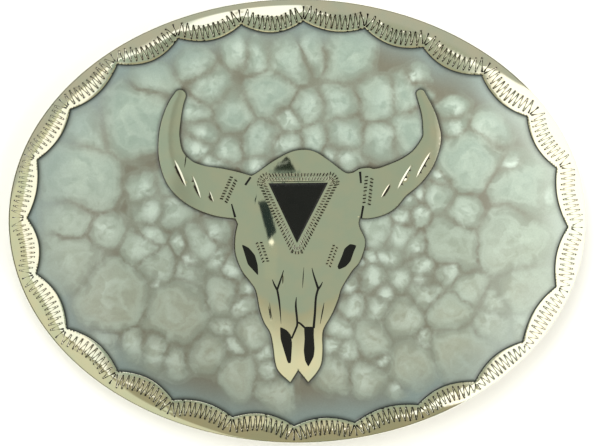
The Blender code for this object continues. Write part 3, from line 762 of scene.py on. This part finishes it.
# Cells of the pearly resin, placed over the photograph's four quarters, each enlarged five times: the
# quarter's corner in the photograph's pixels, then X, Y and radius of each cell in the enlarged quarter's pixels
ENLARGED = 5
FACE_PIXELS = 580
FACE_CENTRE = (297, 221)
CELL_QUARTERS = (
    ((0, 0), (
        (770, 420, 95), (680, 590, 165), (430, 650, 90), (400, 900, 165), (350, 1085, 110), (720, 940, 60),
        (860, 925, 70), (740, 1045, 60), (860, 1060, 60), (975, 330, 80), (1045, 430, 85), (965, 540, 65),
        (1165, 565, 95), (1290, 290, 75), (1340, 470, 115), (1190, 250, 60), (1450, 290, 90), (1020, 665, 45),
        (1120, 730, 65), (990, 750, 45), (1310, 685, 90), (1430, 705, 62), (1445, 590, 52), (1290, 830, 45),
        (1070, 820, 50),
    )),
    ((300, 0), (
        (60, 255, 85), (230, 290, 110), (50, 530, 75), (185, 515, 85), (70, 705, 75), (240, 670, 80),
        (415, 700, 80), (400, 500, 85), (530, 470, 90), (540, 650, 100), (590, 400, 50), (755, 530, 55),
        (790, 630, 55), (845, 800, 135), (940, 655, 80), (1050, 830, 48), (1110, 940, 115), (1250, 955, 55),
        (675, 985, 75), (830, 1065, 75), (610, 1060, 50), (510, 1085, 50), (535, 1000, 40), (595, 965, 35),
        (250, 800, 50), (180, 795, 40), (700, 880, 40),
    )),
    ((0, 223), (
        (340, 200, 125), (530, 30, 70), (555, 375, 160), (705, 115, 75), (765, 45, 65), (800, 215, 85),
        (900, 120, 50), (955, 185, 45), (935, 262, 80), (785, 295, 42), (1010, 90, 75), (1070, 35, 60),
        (1090, 170, 55), (1160, 205, 50), (1095, 350, 90), (880, 430, 150), (1220, 405, 60), (1245, 330, 48),
        (1120, 510, 62), (1262, 550, 80), (655, 605, 72), (540, 595, 80), (780, 640, 75), (890, 660, 80),
        (1040, 650, 95), (1150, 620, 65), (1195, 760, 90), (1325, 650, 50), (1350, 745, 50), (1390, 850, 80),
    )),
    ((300, 223), (
        (370, 40, 85), (500, 60, 62), (590, 125, 55), (612, 195, 55), (765, 110, 120), (742, 240, 60),
        (360, 180, 50), (437, 185, 50), (508, 290, 62), (362, 300, 60), (430, 360, 48), (250, 325, 50),
        (615, 290, 42), (645, 362, 78), (268, 422, 58), (393, 425, 62), (210, 530, 60), (345, 570, 85),
        (528, 480, 82), (620, 590, 50), (160, 620, 50), (232, 662, 60), (395, 670, 42), (850, 330, 92),
        (985, 390, 90), (755, 455, 115), (1050, 110, 150), (1100, 350, 120), (960, 480, 85), (1105, 470, 70),
        (560, 710, 115), (790, 650, 130), (330, 765, 70), (185, 740, 80), (480, 830, 50), (300, 205, 32),
    )),
)
CELL_SWELL = 1.15
CELL_REACH = 0.9


def placed_cells():
    """X, Y and radius of the resin's cells in millimetres."""
    made = []
    for corner, cells in CELL_QUARTERS:
        x, y, radius = np.transpose(cells) / ENLARGED
        made.append(np.column_stack([corner[0] + x - FACE_CENTRE[0], FACE_CENTRE[1] - corner[1] - y, radius]))
    return np.vstack(made) * 2 * HALF_LENGTH / FACE_PIXELS


def cell_values(points):
    """How deep each point lies inside its cell, and how much it shares in the glow of the cell's middle."""
    cells = placed_cells()
    wobble = [noise.noise_vector((x * 0.22, y * 0.22, 3)) * 1.3 for x, y in points]
    wobble = np.array([tuple(step.xy) for step in wobble])
    wobble += np.array([tuple(noise.noise_vector((x * 0.7, y * 0.7, 9)).xy * 0.35) for x, y in points])
    reach = np.linalg.norm((points + wobble)[:, None] - cells[None, :, :2], axis=2)
    outside = reach - cells[:, 2] * CELL_SWELL - CELL_REACH
    nearest = np.argmin(outside, axis=1)
    two = np.partition(outside, 1, axis=1)
    inner = np.minimum((two[:, 1] - two[:, 0]) / 2, -two[:, 0])
    radius = cells[nearest, 2]
    share = 1 - reach[np.arange(len(points)), nearest] / radius
    return inner, np.clip(share * 1.6, 0, 1) * np.clip(1.7 - radius / 2.2, 0.15, 1)


def lustre(points):
    """Painted light over the resin, which grows paler to the right and the top."""
    x, y = points[:, 0], points[:, 1]
    return 0.92 + 0.0056 * y + 0.0028 * x + 0.0001 * x**2 + 0.16 * np.clip((x - 30) / 12, 0, 1) ** 2


# Dark colour of the metal's cuts, partly stain and partly painted shade, and of its edges, painted shade
STAIN_AND_SHADE = (0.03, 0.027, 0.02)
# How dark the rim's outer edge is painted, as shade
PAINTED_EDGE_SHADE = 0.22
PEARL = (0.195, 0.255, 0.22)
PEARL_WARM = (0.215, 0.235, 0.185)
PEARL_SHADE = (0.165, 0.192, 0.157)
PEARL_LIGHT = (0.31, 0.375, 0.325)
PEARL_GLOW = (0.44, 0.52, 0.475)
PEARL_SEAM = (0.118, 0.114, 0.086)
PEARL_MARGIN = (0.145, 0.195, 0.193)
PEARL_PALE_MARGIN = (0.25, 0.295, 0.265)
# The polished metal's colour, mottled with its second colour as painted reflections
SILVER = (0.78, 0.745, 0.62)
SILVER_SHADE = (0.71, 0.735, 0.63)


# Pieces of the face

def engraved_plate(material):
    """The whole metal tray: engraved top, rounded side, back and the floor under the resin."""
    edge, normals, width = rim_stations()

    def ring(inset):
        return edge - normals * np.reshape(inset, (-1, 1))

    def level(points, height):
        return np.column_stack([points, np.full(len(points), height)])

    cuts = rim_cuts()
    bevel, crown = bevel_and_crown(width)
    rows = [ring(bevel * share) for share in (0.22, 0.43, 0.64, 0.82, 1.0)]
    rows += [ring(bevel + (crown - bevel) * share) for share in (0.5, 1.0)]
    rows += [ring(crown + (width - crown) * share) for share in (0.2, 0.4, 0.6, 0.8)]
    rows += [ring(width - LIP), ring(width - LIP / 2)]
    loops = [ring([TOP_INSET]), ring(width)]
    points, triangles, marks = triangulated(loops, clear_of(np.vstack(rows), cuts, 0.2), cuts)
    middles = points[triangles].mean(axis=1)
    triangles = triangles[inside(middles, loops[0]) & ~inside(middles, loops[1])]
    points, triangles, marks = used_only(points, triangles, marks)
    lengths, inset = oval_lengths(points)
    # Painted shade: a dark line along the rim's inner edge where it meets the resin, and along the outer edge of its
    # top
    stains = np.maximum(marks[:, 1], 0.6 * (rim_width(lengths)[0] - inset < LIP / 4))
    stains = np.maximum(stains, PAINTED_EDGE_SHADE * (inset < TOP_INSET * 1.1))
    verts = np.column_stack([points, rim_height(points) - marks[:, 0]])
    faces = triangles.tolist()

    side = [np.column_stack([loops[0], rim_height(loops[0])])]
    side += [level(ring([inset]), height) for inset, height in SIDE_PROFILE]
    side += [level(side[-1][:, :2] * share, 0) for share in np.linspace(0.985, 0.02, 16)]
    inner = loops[1]
    floor = [np.column_stack([inner, rim_height(inner)]), level(inner, FLOOR_TOP)]
    floor += [level(inner * share, FLOOR_TOP) for share in np.linspace(0.9, 0.05, 8)]
    for rings in (side, floor):
        joined_rings(rings, len(verts), faces)
        verts = np.vstack([verts, *rings])
        faces.append(list(range(len(verts) - len(edge), len(verts))))
    # Painted shade on the first rings of the side and over the whole floor under the resin
    side_stains = np.full(len(side) * len(edge), 0.1)
    side_stains[:2 * len(edge)] = PAINTED_EDGE_SHADE
    stains = np.concatenate([stains, side_stains, np.ones(len(floor) * len(edge))])
    verts[:, 2] += lift(verts[:, 0])
    cut = np.zeros(len(verts))
    cut[:len(marks)] = marks[:, 0]
    obj = new_object(
        "engraved_plate", verts, faces, material, "buckle", "nickel_silver", "plate", stain=stains, cut=cut
    )
    weld(obj)
    crisp_cuts(obj)
    return obj


def weld(obj):
    """Joins the piece's touching edges and turns its faces outward."""
    bm = bmesh.new()
    bm.from_mesh(obj.data)
    bmesh.ops.remove_doubles(bm, verts=bm.verts, dist=2e-7)
    bmesh.ops.recalc_face_normals(bm, faces=bm.faces)
    bm.to_mesh(obj.data)
    bm.free()
    obj.data.set_sharp_from_angle(angle=math.radians(30))


def crisp_cuts(obj):
    """Keeps the border of every cut and its bottom sharp, however shallow it is."""
    bm = bmesh.new()
    bm.from_mesh(obj.data)
    depth = bm.verts.layers.float["cut"]
    for edge in bm.edges:
        sides = {any(vert[depth] > 0 for vert in face.verts) for face in edge.link_faces}
        if len(sides) > 1 or all(vert[depth] > 0 for vert in edge.verts):
            edge.smooth = False
    bm.to_mesh(obj.data)
    bm.free()


def face_outline():
    """The skull without its horns, clockwise from the crown's left end."""
    return np.vstack([
        smooth(CROWN, 5), HORN_SEAM_RIGHT, smooth(CHEEK_RIGHT, 5), [MUZZLE_NOTCH], smooth(CHEEK_LEFT, 5),
        HORN_SEAM_LEFT,
    ])


def horn_outline(stations):
    """Both edges of a tapering bent horn, joined by a round tip."""
    line = smooth(stations, 6)
    along = unit(np.gradient(line[:, :2], axis=0))
    across = left_of(along) * line[:, 2:]
    left, right = line[:, :2] + across, line[:, :2] - across
    spoke = Vector(left[-1] - line[-1, :2])
    cap = [line[-1, :2] + np.array(Matrix.Rotation(-math.pi * step / 12, 2) @ spoke) for step in range(1, 12)]
    return np.vstack([left, cap, right[::-1]])


def outer_segments(loops):
    """The segments of overlapping outlines that lie on the outside of all of them."""
    starts, ends = [], []
    for index, loop in enumerate(loops):
        first, second = loop, np.roll(loop, -1, axis=0)
        middles = (first + second) / 2
        hidden = np.zeros(len(loop), bool)
        for other, outline in enumerate(loops):
            if other != index:
                hidden |= inside(middles, outline)
        starts.append(first[~hidden])
        ends.append(second[~hidden])
    return np.vstack(starts), np.vstack(ends)


def beside(starts, ends, offsets):
    """Points on both sides of segments, at each offset."""
    across = left_of(unit(ends - starts))
    middles = (starts + ends) / 2
    return np.vstack([middles + across * offset * side for offset in offsets for side in (1, -1)])


def horn_ridge(points, stations):
    """The low ridge along the outer half of a horn, which gives it two facets."""
    line = smooth(stations, 6)
    nearest = np.argmin(((points[:, None] - line[None, :, :2]) ** 2).sum(2), axis=1)
    off = distance(points, line[:-1, :2], line[1:, :2]) / line[nearest, 2]
    share = nearest / (len(line) - 1)
    fade = np.clip((share - 0.25) / 0.35, 0, 1)
    return HORN_RIDGE * line[nearest, 2] * np.clip(1 - off, 0, 1) * fade * fade * (3 - 2 * fade)


def skull_pieces(silver, black, shapes):
    """The skull with its engraving, its black fills and the forehead's stone."""
    stone = dense(np.array(STONE), 0.5)
    holes = [dense(np.array(hole), 0.5) for hole in (EYE_LEFT, EYE_RIGHT, NOSTRIL_LEFT, NOSTRIL_RIGHT)]
    holes = [dense(rounded_loop(hole), 0.4) for hole in holes] + [strip(crack) for crack in CRACKS]
    cuts = skull_cuts()
    starts, ends = outer_segments(shapes)
    stone_ends = np.roll(stone, -1, axis=0)
    points = np.vstack([
        beside(starts, ends, (0.08, 0.17, 0.36, 0.6)), beside(stone, stone_ends, (0.12, 0.28)),
        grid((-25, -27), (25, 24), 0.7),
    ])
    points, triangles, marks = triangulated([*shapes, stone, *holes], clear_of(points, cuts, 0.14), cuts)
    middles = points[triangles].mean(axis=1)
    in_skull = np.any([inside(middles, shape) for shape in shapes], axis=0)
    in_stone = inside(middles, stone)
    in_hole = np.any([inside(middles, hole) for hole in holes], axis=0) & ~in_stone & in_skull

    metal, metal_triangles, marks = used_only(points, triangles[in_skull & ~in_stone & ~in_hole], marks)
    from_edge = distance(metal, starts, ends)
    top = SKULL_TOP - marks[:, 0]
    top += horn_ridge(metal, HORN_LEFT) * (metal[:, 0] < -12) + horn_ridge(metal, HORN_RIGHT) * (metal[:, 0] > 12)
    # Painted shade: a dark outline along the skull's edge, fading out within 0.17 mm; its hidden underside is fully
    # darkened as painted shade
    stains = np.maximum(marks[:, 1], 0.36 * np.clip(1 - from_edge / 0.17, 0, 1))
    verts, faces = solid(metal, metal_triangles, top, FIELD_BASE)
    crisp_cuts(new_object(
        "skull", verts, faces, silver, "buckle", "nickel_silver", "skull_face", "horn_left", "horn_right",
        stain=np.concatenate([stains, np.ones(len(stains))]), cut=np.concatenate([marks[:, 0], 0 * stains]),
    ))

    fills, fill_triangles = used_only(points, triangles[in_hole])
    verts, faces = solid(fills, fill_triangles, np.full(len(fills), SKULL_TOP - 0.05), FIELD_BASE)
    new_object(
        "black_fills", verts, faces, black, "buckle", "black_resin",
        "eye_left", "eye_right", "nostril_left", "nostril_right",
    )

    stone_points = np.vstack([beside(stone, stone_ends, (0.15, 0.35)), grid((-6, -5), (6, 7), 0.7)])
    gem, gem_triangles, _ = triangulated([stone], stone_points)
    gem_triangles = gem_triangles[inside(gem[gem_triangles].mean(axis=1), stone)]
    gem, gem_triangles = used_only(gem, gem_triangles)
    from_side = distance(gem, stone, stone_ends)
    gem_top = SKULL_TOP + 0.02 - 0.06 * np.clip(1 - from_side / 0.2, 0, 1)
    verts, faces = solid(gem, gem_triangles, gem_top, FIELD_BASE)
    new_object("stone", verts, faces, black, "buckle", "black_resin", "forehead_stone")


def rounded_loop(loop):
    """A closed outline with its corners cut back a little."""
    ahead, behind = np.roll(loop, -1, axis=0), np.roll(loop, 1, axis=0)
    return loop * 0.7 + ahead * 0.15 + behind * 0.15


def pearl_field(material, shapes):
    """The resin round the skull, its level dipping where it meets the metal."""
    edge, normals, width = rim_stations()
    rim = edge - normals * (width + 0.02)[:, None]
    starts, ends = outer_segments(shapes)
    starts, ends = np.vstack([starts, rim]), np.vstack([ends, np.roll(rim, -1, axis=0)])
    points = np.vstack([beside(starts, ends, (0.1, 0.22, 0.4, 0.7)), grid((-45, -34), (45, 34), CELL_PITCH)])
    points, triangles, _ = triangulated([rim, *shapes], points)
    middles = points[triangles].mean(axis=1)
    kept = inside(middles, rim) & ~np.any([inside(middles, shape) for shape in shapes], axis=0)
    points, triangles = used_only(points, triangles[kept])
    from_edge = distance(points, starts, ends)
    top = FIELD_TOP - 0.14 * np.clip(1 - from_edge / 0.4, 0, 1) ** 2
    # Painted shade on the resin beside the metal, fading out over 1.2 mm
    shade = np.clip(1 - from_edge / 1.2, 0, 1) ** 1.8
    inner, glow = cell_values(points)
    verts, faces = solid(points, triangles, top, FIELD_BASE)
    new_object(
        "pearl_field", verts, faces, material, "buckle", "pearl_resin", "pearl_inlay",
        inner=np.tile(inner, 2), glow=np.tile(glow, 2), shade=np.tile(shade, 2), lustre=np.tile(lustre(points), 2),
    )


CELL_PITCH = 0.6


# Pieces of the back

def hinge_height():
    """Height of the bail's pivot."""
    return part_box("bail")[1].z / MM - WIRE_RADIUS


def rounded(corners, radius, steps):
    """A closed path through corners, each rounded by an arc."""
    path = []
    for before, here, after in zip(corners[-1:] + corners[:-1], corners, corners[1:] + corners[:1]):
        back, on = (before - here).normalized(), (after - here).normalized()
        half_angle = back.angle(on) / 2
        centre = here + (back + on).normalized() * radius / math.sin(half_angle)
        start = here + back * radius / math.tan(half_angle) - centre
        end = here + on * radius / math.tan(half_angle) - centre
        path.extend(centre + start.slerp(end, step / steps) * radius for step in range(steps + 1))
    return path


def bail_wire(material):
    """The bail: one bent wire, a little flattened where its bar rests."""
    leg_end = lift(BAIL_END_X) - BAIL_GAP - WIRE_RADIUS
    side = [(HINGE_X, hinge_height()), (BAIL_END_X, leg_end), (BAIL_END_X, WIRE_RADIUS - 0.1)]
    corners = [Vector((x, -BAIL_HALF_WIDTH, z)) for x, z in side]
    corners += [Vector((x, BAIL_HALF_WIDTH, z)) for x, z in reversed(side)]
    path = rounded(corners, BAIL_CORNER, 12)
    verts, faces = tube(path, WIRE_RADIUS, 28)
    verts[:, 2] = np.maximum(verts[:, 2], 0)
    return new_object("bail_wire", verts, faces, material, "bail", "nickel_silver", "bail", angle=60)


def tube(path, radius, sides, bumps=0.0):
    """A closed tube round a path, with bumps as a share of its radius."""
    verts, faces = [], []
    count = len(path)
    for index, here in enumerate(path):
        along = (path[(index + 1) % count] - path[index - 1]).normalized()
        across = along.cross(Vector((0, 0, 1)))
        if across.length < 0.3:
            across = Vector((0, 1, 0)) * (1 if here.y > 0 else -1)
        if index == 0:
            frame_across = across.normalized()
        else:
            frame_across = (frame_across - along * frame_across.dot(along)).normalized()
        up = along.cross(frame_across)
        for side in range(sides):
            turn = 2 * math.pi * side / sides
            spoke = frame_across * math.cos(turn) + up * math.sin(turn)
            swell = 1 + bumps * noise.noise(here * 0.8 + spoke * 0.6)
            verts.append(tuple(here + spoke * radius * swell))
    for index in range(count):
        for side in range(sides):
            a, b = index * sides + side, index * sides + (side + 1) % sides
            onward = sides if index < count - 1 else sides - count * sides
            faces.append((a, b, b + onward, a + onward))
    return np.array(verts), faces


def bevelled(obj, width, segments):
    """Rounded edges, applied."""
    bm = bmesh.new()
    bm.from_mesh(obj.data)
    bmesh.ops.recalc_face_normals(bm, faces=bm.faces)
    sharp = [edge for edge in bm.edges if edge.calc_face_angle(0) > math.radians(40)]
    bmesh.ops.bevel(
        bm, geom=sharp, offset=width * MM, segments=segments, profile=0.5, affect="EDGES", clamp_overlap=True
    )
    bm.to_mesh(obj.data)
    bm.free()
    obj.data.shade_smooth()
    obj.data.set_sharp_from_angle(angle=math.radians(35))


def hinge_strap(material):
    """A strip folded over the bail's pivot, its edges rounded."""
    inner, outer = WIRE_RADIUS + STRAP_CLEARANCE, WIRE_RADIUS + STRAP_CLEARANCE + STRAP_THICKNESS
    top = WIRE_RADIUS
    turns = np.linspace(math.pi, 2 * math.pi, 33)
    spokes = np.stack([np.cos(turns), np.sin(turns)], axis=1)
    outline = np.vstack([
        (-STRAP_REACH, top), (-inner, top), spokes * inner, (inner, top), (STRAP_REACH, top),
        (STRAP_REACH, top - STRAP_THICKNESS), (outer, top - STRAP_THICKNESS), spokes[::-1] * outer,
        (-outer, top - STRAP_THICKNESS), (-STRAP_REACH, top - STRAP_THICKNESS),
    ])
    slope = math.atan(HINGE_X / CURVE_RADIUS)
    place = Matrix.Translation((HINGE_X, 0, hinge_height())) @ Matrix.Rotation(slope, 4, "Y")
    ends = [-STRAP_LENGTH / 2, STRAP_LENGTH / 2]
    verts = [tuple(place @ Vector((x, y, z))) for y in ends for x, z in outline]
    count = len(outline)
    faces = [(i, (i + 1) % count, (i + 1) % count + count, i + count) for i in range(count)]
    faces += [list(range(count)), list(range(2 * count - 1, count - 1, -1))]
    obj = new_object("strap", np.array(verts), faces, material, "buckle", "nickel_silver", "hinge_strap")
    bevelled(obj, 0.12, 3)
    return obj


PRONG_PROFILE = (
    (0.0, 0.05, 1), (0.0, 3.9, 1), (-0.08, 4.1, 1), (-0.2, FOOT_RADIUS, 1), (-0.6, 4.1, 1), (-0.8, 3.95, 1),
    (-0.88, 3.8, 1), (-0.95, 2.7, 1), (-1.1, 2.25, 0.95), (-1.4, 1.95, 0.9), (-1.9, 1.8, 0.75), (-3.5, 1.68, 0.5),
    (-5.5, 1.55, 0.2), (-7.2, 1.42, 0.0), (-7.8, 1.33, 0.0), (-8.05, 1.2, 0.0), (-8.15, 1.0, 0.0), (-8.15, 0.05, 0.0),
)


def prong_post(material):
    """The prong: a peg that leans outward from a soldered foot, drawn as level rings of (drop, radius, bend)."""
    foot_top = lift(PRONG_FOOT_X) - GAP
    drop_to_floor = PRONG_PROFILE[-1][0]
    sides = 48
    rings = []
    for drop, radius, bend in PRONG_PROFILE:
        height = foot_top + drop if drop > -1 else foot_top + drop * foot_top / -drop_to_floor
        lean = (PRONG_TIP_X - PRONG_FOOT_X) * max(0, (-drop - 0.6) / (-drop_to_floor - 0.6))
        turns = np.arange(sides) * 2 * math.pi / sides
        xs = PRONG_FOOT_X + lean + radius * np.cos(turns)
        ys = radius * np.sin(turns)
        zs = height + (lift(xs) - lift(PRONG_FOOT_X)) * bend
        rings.append(np.column_stack([xs, ys, np.maximum(zs, 0)]))
    faces = []
    joined_rings(rings, 0, faces)
    faces += [list(range(sides))[::-1], list(range(len(rings) * sides - sides, len(rings) * sides))]
    obj = new_object("prong_post", np.vstack(rings), faces, material, "buckle", "nickel_silver", "prong")
    weld(obj)
    return obj


def solder(material):
    """Solder that has run out from under the prong's foot and the strap's flanges."""
    turns = np.arange(72) * 2 * math.pi / 72
    foot = [
        Vector((PRONG_FOOT_X + 4.0 * math.cos(t), 4.0 * math.sin(t), lift(PRONG_FOOT_X + 4.0 * math.cos(t)) - 0.2))
        for t in turns
    ]
    verts, faces = tube(foot, 0.42, 10, bumps=0.5)
    new_object("prong_solder", verts, faces, material, "buckle", "nickel_silver", angle=70)
    for name, side in (("strap_solder_inner", -1), ("strap_solder_outer", 1)):
        x = HINGE_X + side * (STRAP_REACH - 0.2)
        z = lift(x) - 0.2
        half = STRAP_LENGTH / 2 - 0.4
        path = [Vector((x, y, z)) for y in np.linspace(-half, half, 50)]
        path += [Vector((x - side * 0.35, y, z)) for y in np.linspace(half, -half, 50)]
        verts, faces = tube(path, 0.4, 10, bumps=0.5)
        new_object(name, verts, faces, material, "buckle", "nickel_silver", angle=70)


# Stage

def floor():
    """A plain pale floor that can't be seen from below."""
    bm = bmesh.new()
    bmesh.ops.create_grid(bm, x_segments=1, y_segments=1, size=3)
    mesh = bpy.data.meshes.new("floor")
    bm.to_mesh(mesh)
    bm.free()
    material, nodes, shader = new_material("floor")
    wired(nodes, shader, Base_Color=(0.86, 0.86, 0.86, 1), Roughness=0.9)
    clear = nodes.add("ShaderNodeBsdfTransparent")
    behind = nodes.add("ShaderNodeNewGeometry", out=6)
    mixed = nodes.add("ShaderNodeMixShader", behind, shader.outputs[0], clear)
    output = next(node for node in material.node_tree.nodes if node.type == "OUTPUT_MATERIAL")
    material.node_tree.links.new(mixed, output.inputs[0])
    mesh.materials.append(material)
    obj = bpy.data.objects.new("floor", mesh)
    bpy.context.scene.collection.objects.link(obj)


def camera():
    """The camera looks straight down at the face."""
    data = bpy.data.cameras.new("camera")
    data.sensor_width = SENSOR
    data.lens = SENSOR * CAMERA_HEIGHT / VIEW_WIDTH
    data.clip_start = 0.01
    data.clip_end = 20
    obj = bpy.data.objects.new("camera", data)
    obj.location = Vector((*VIEW_CENTRE, CAMERA_HEIGHT + BACK_HEIGHT + RIM_TOP)) * MM
    bpy.context.scene.collection.objects.link(obj)
    bpy.context.scene.camera = obj


def light(name, place, size, watts, colour=(1, 1, 1)):
    """A large soft light aimed at the buckle, which the metal doesn't mirror."""
    data = bpy.data.lights.new(name, "AREA")
    data.shape = "DISK"
    data.size = size
    data.energy = watts
    data.color = colour
    obj = bpy.data.objects.new(name, data)
    obj.location = place
    obj.rotation_euler = Vector(place).to_track_quat("Z", "Y").to_euler()
    obj.visible_glossy = False
    bpy.context.scene.collection.objects.link(obj)


def patch(nodes, place, corners, soft):
    """A mask over a convex shape, its corners going anticlockwise."""
    mask = 1.0
    for (x0, y0), (x1, y1) in zip(corners, corners[1:] + corners[:1]):
        reach = math.hypot(x1 - x0, y1 - y0)
        across, up = (y0 - y1) / reach, (x1 - x0) / reach
        offset = nodes.math("MULTIPLY_ADD", place[1], up, -across * x0 - up * y0)
        offset = nodes.math("MULTIPLY_ADD", place[0], across, offset)
        mask = nodes.math("MULTIPLY", nodes.ease(offset, -soft, soft), mask)
    return mask


def surroundings():
    """The studio that the metal mirrors: a grey ceiling, bright panels, dim walls, and what stands over the face."""
    world = bpy.data.worlds.new("studio")
    bpy.context.scene.world = world
    world.use_nodes = True
    nodes = Nodes(world.node_tree)
    way = nodes.add("ShaderNodeTexCoord", out=0)
    x, y, z = (nodes.add("ShaderNodeSeparateXYZ", way, out=axis) for axis in range(3))
    up = nodes.math("MAXIMUM", z, 0.02)
    right = nodes.math("DIVIDE", x, up)
    far = nodes.math("DIVIDE", y, up)
    colour = nodes.mix(nodes.ease(right, -0.09, -0.125), CEILING, HORN_SHADE)
    colour = nodes.mix(nodes.ease(right, -0.13, -0.16), colour, LEFT_SHADE)
    colour = nodes.mix(nodes.ease(right, 0.10, 0.155), colour, RIGHT_SHADE)
    aside = nodes.math("MINIMUM", nodes.math("ABSOLUTE", right), 0.06)
    slanted = nodes.math("MULTIPLY_ADD", aside, -0.09, far)
    colour = nodes.mix(nodes.ease(slanted, -0.0163, -0.0177), colour, NEAR_CEILING)
    colour = nodes.mix(nodes.ease(far, -0.05, -0.2), colour, NEAR_WALL)
    glow = nodes.math("MULTIPLY", nodes.ease(slanted, -0.0163, -0.0265), nodes.ease(far, -0.06, -0.035))
    glow = nodes.math("MULTIPLY", glow, nodes.ease(nodes.math("ABSOLUTE", right), 0.09, 0.05))
    colour = nodes.mix(glow, colour, NEAR_PANEL)
    left = nodes.math("MULTIPLY", nodes.ease(right, -0.18, -0.21), nodes.ease(far, -0.15, -0.1))
    colour = nodes.mix(left, colour, LEFT_PANEL)
    colour = nodes.mix(nodes.ease(right, -0.36, -0.45), colour, LEFT_WALL)
    colour = nodes.mix(nodes.ease(far, 0.2, 0.4), colour, FAR_WALL)
    panel = nodes.math("MULTIPLY", nodes.ease(far, 0.1, 0.14), nodes.ease(far, 0.8, 0.55))
    panel = nodes.math("MULTIPLY", panel, nodes.ease(right, 0.04, 0.0))
    panel = nodes.math("MULTIPLY", panel, nodes.ease(right, -0.35, -0.2))
    colour = nodes.mix(panel, colour, FAR_PANEL)
    colour = nodes.mix(nodes.ease(z, 0.36, 0.24), colour, HORIZON)
    beyond = nodes.math("MULTIPLY_ADD", right, -0.8, far)
    nearer = nodes.math("MULTIPLY_ADD", right, 1.5, far)
    panel = nodes.math("MULTIPLY", nodes.ease(right, 0.17, 0.21), nodes.ease(beyond, 0.02, -0.05))
    panel = nodes.math("MULTIPLY", panel, nodes.ease(nearer, -0.05, 0.05))
    colour = nodes.mix(panel, colour, RIGHT_PANEL)

    bend = 1 / CAMERA_HEIGHT + 2 / CURVE_RADIUS
    on_face = (
        nodes.math("MULTIPLY_ADD", right, 1 / bend, VIEW_CENTRE[0] / CAMERA_HEIGHT / bend),
        nodes.math("MULTIPLY_ADD", far, CAMERA_HEIGHT, VIEW_CENTRE[1]),
    )
    for corners, soft, tone in MIRRORED:
        colour = nodes.mix(patch(nodes, on_face, corners, soft), colour, tone)
    background = nodes.add("ShaderNodeBackground", colour, 1.0)
    output = world.node_tree.nodes.new("ShaderNodeOutputWorld")
    world.node_tree.links.new(background, output.inputs[0])


CEILING = (0.42, 0.473, 0.365)
HORN_SHADE = (0.35, 0.39, 0.30)
LEFT_SHADE = (0.44, 0.51, 0.41)
RIGHT_SHADE = (0.47, 0.49, 0.37)
NEAR_CEILING = (0.48, 0.465, 0.32)
NEAR_WALL = (0.42, 0.39, 0.25)
NEAR_PANEL = (0.9, 0.865, 0.62)
FAR_WALL = (0.56, 0.56, 0.46)
LEFT_PANEL = (1.35, 1.33, 1.2)
LEFT_WALL = (0.80, 0.80, 0.58)
FAR_PANEL = (1.5, 1.5, 1.4)
RIGHT_PANEL = (1.7, 1.65, 1.5)
HORIZON = (0.12, 0.115, 0.09)

# What stands over the face, by where the face mirrors it: corners in millimetres, softness and colour
MIRRORED = (
    (((-5.9, -3.4), (-5.3, -9.4), (-3.4, -9.4), (-3.2, -3.6)), 0.5, (0.47, 0.5, 0.37)),
    (((-6.4, 3.2), (-4.7, -3.1), (-3.4, -1.8), (-4.9, 3.2)), 0.1, (0.03, 0.045, 0.04)),
    (((-4.7, -3.45), (-4.2, -4.0), (-3.7, -3.45), (-4.2, -2.9)), 0.12, (1.6, 1.5, 1.2)),
    (((-1.6, 10.6), (-4.0, 8.3), (-0.1, 8.2)), 0.08, (0.02, 0.03, 0.02)),
    (((-3.0, 9.0), (-1.35, 9.65), (-1.4, 9.85), (-3.1, 9.2)), 0.06, (0.4, 0.44, 0.38)),
    (((-4.6, 8.3), (-4.4, 6.6), (0.8, 6.6), (0.6, 8.3)), 0.2, (0.24, 0.31, 0.25)),
)


def main():
    silver = polished_metal("polished_silver", SILVER, SILVER_SHADE, 0.01, 0.12)
    rim_silver = polished_metal("rim_silver", SILVER, SILVER_SHADE, 0.05, 0.4)
    satin = brushed_metal("satin_silver", (0.60, 0.58, 0.49), (0.30, 0.26, 0.18), 0.3)
    wire = brushed_metal("wire_silver", (0.66, 0.64, 0.55), (0.36, 0.31, 0.22), 0.22)
    tin = brushed_metal("solder_tin", (0.50, 0.50, 0.48), (0.22, 0.21, 0.19), 0.42)
    black = black_enamel("black_enamel", (0.004, 0.0045, 0.0045), (0.015, 0.015, 0.014))
    shapes = [dense(face_outline(), 0.6), horn_outline(HORN_LEFT), horn_outline(HORN_RIGHT)]
    engraved_plate(rim_silver)
    skull_pieces(silver, black, shapes)
    pearl_field(pearl_resin("pearl_resin"), shapes)
    bail_wire(wire)
    hinge_strap(satin)
    prong_post(wire)
    solder(tin)
    floor()
    camera()
    surroundings()
    light("key", (-0.5, 0.6, 1.6), 1.4, 26)
    light("fill", (0.9, -0.5, 1.3), 1.4, 12)
    bpy.context.scene.view_settings.view_transform = "Standard"


main()
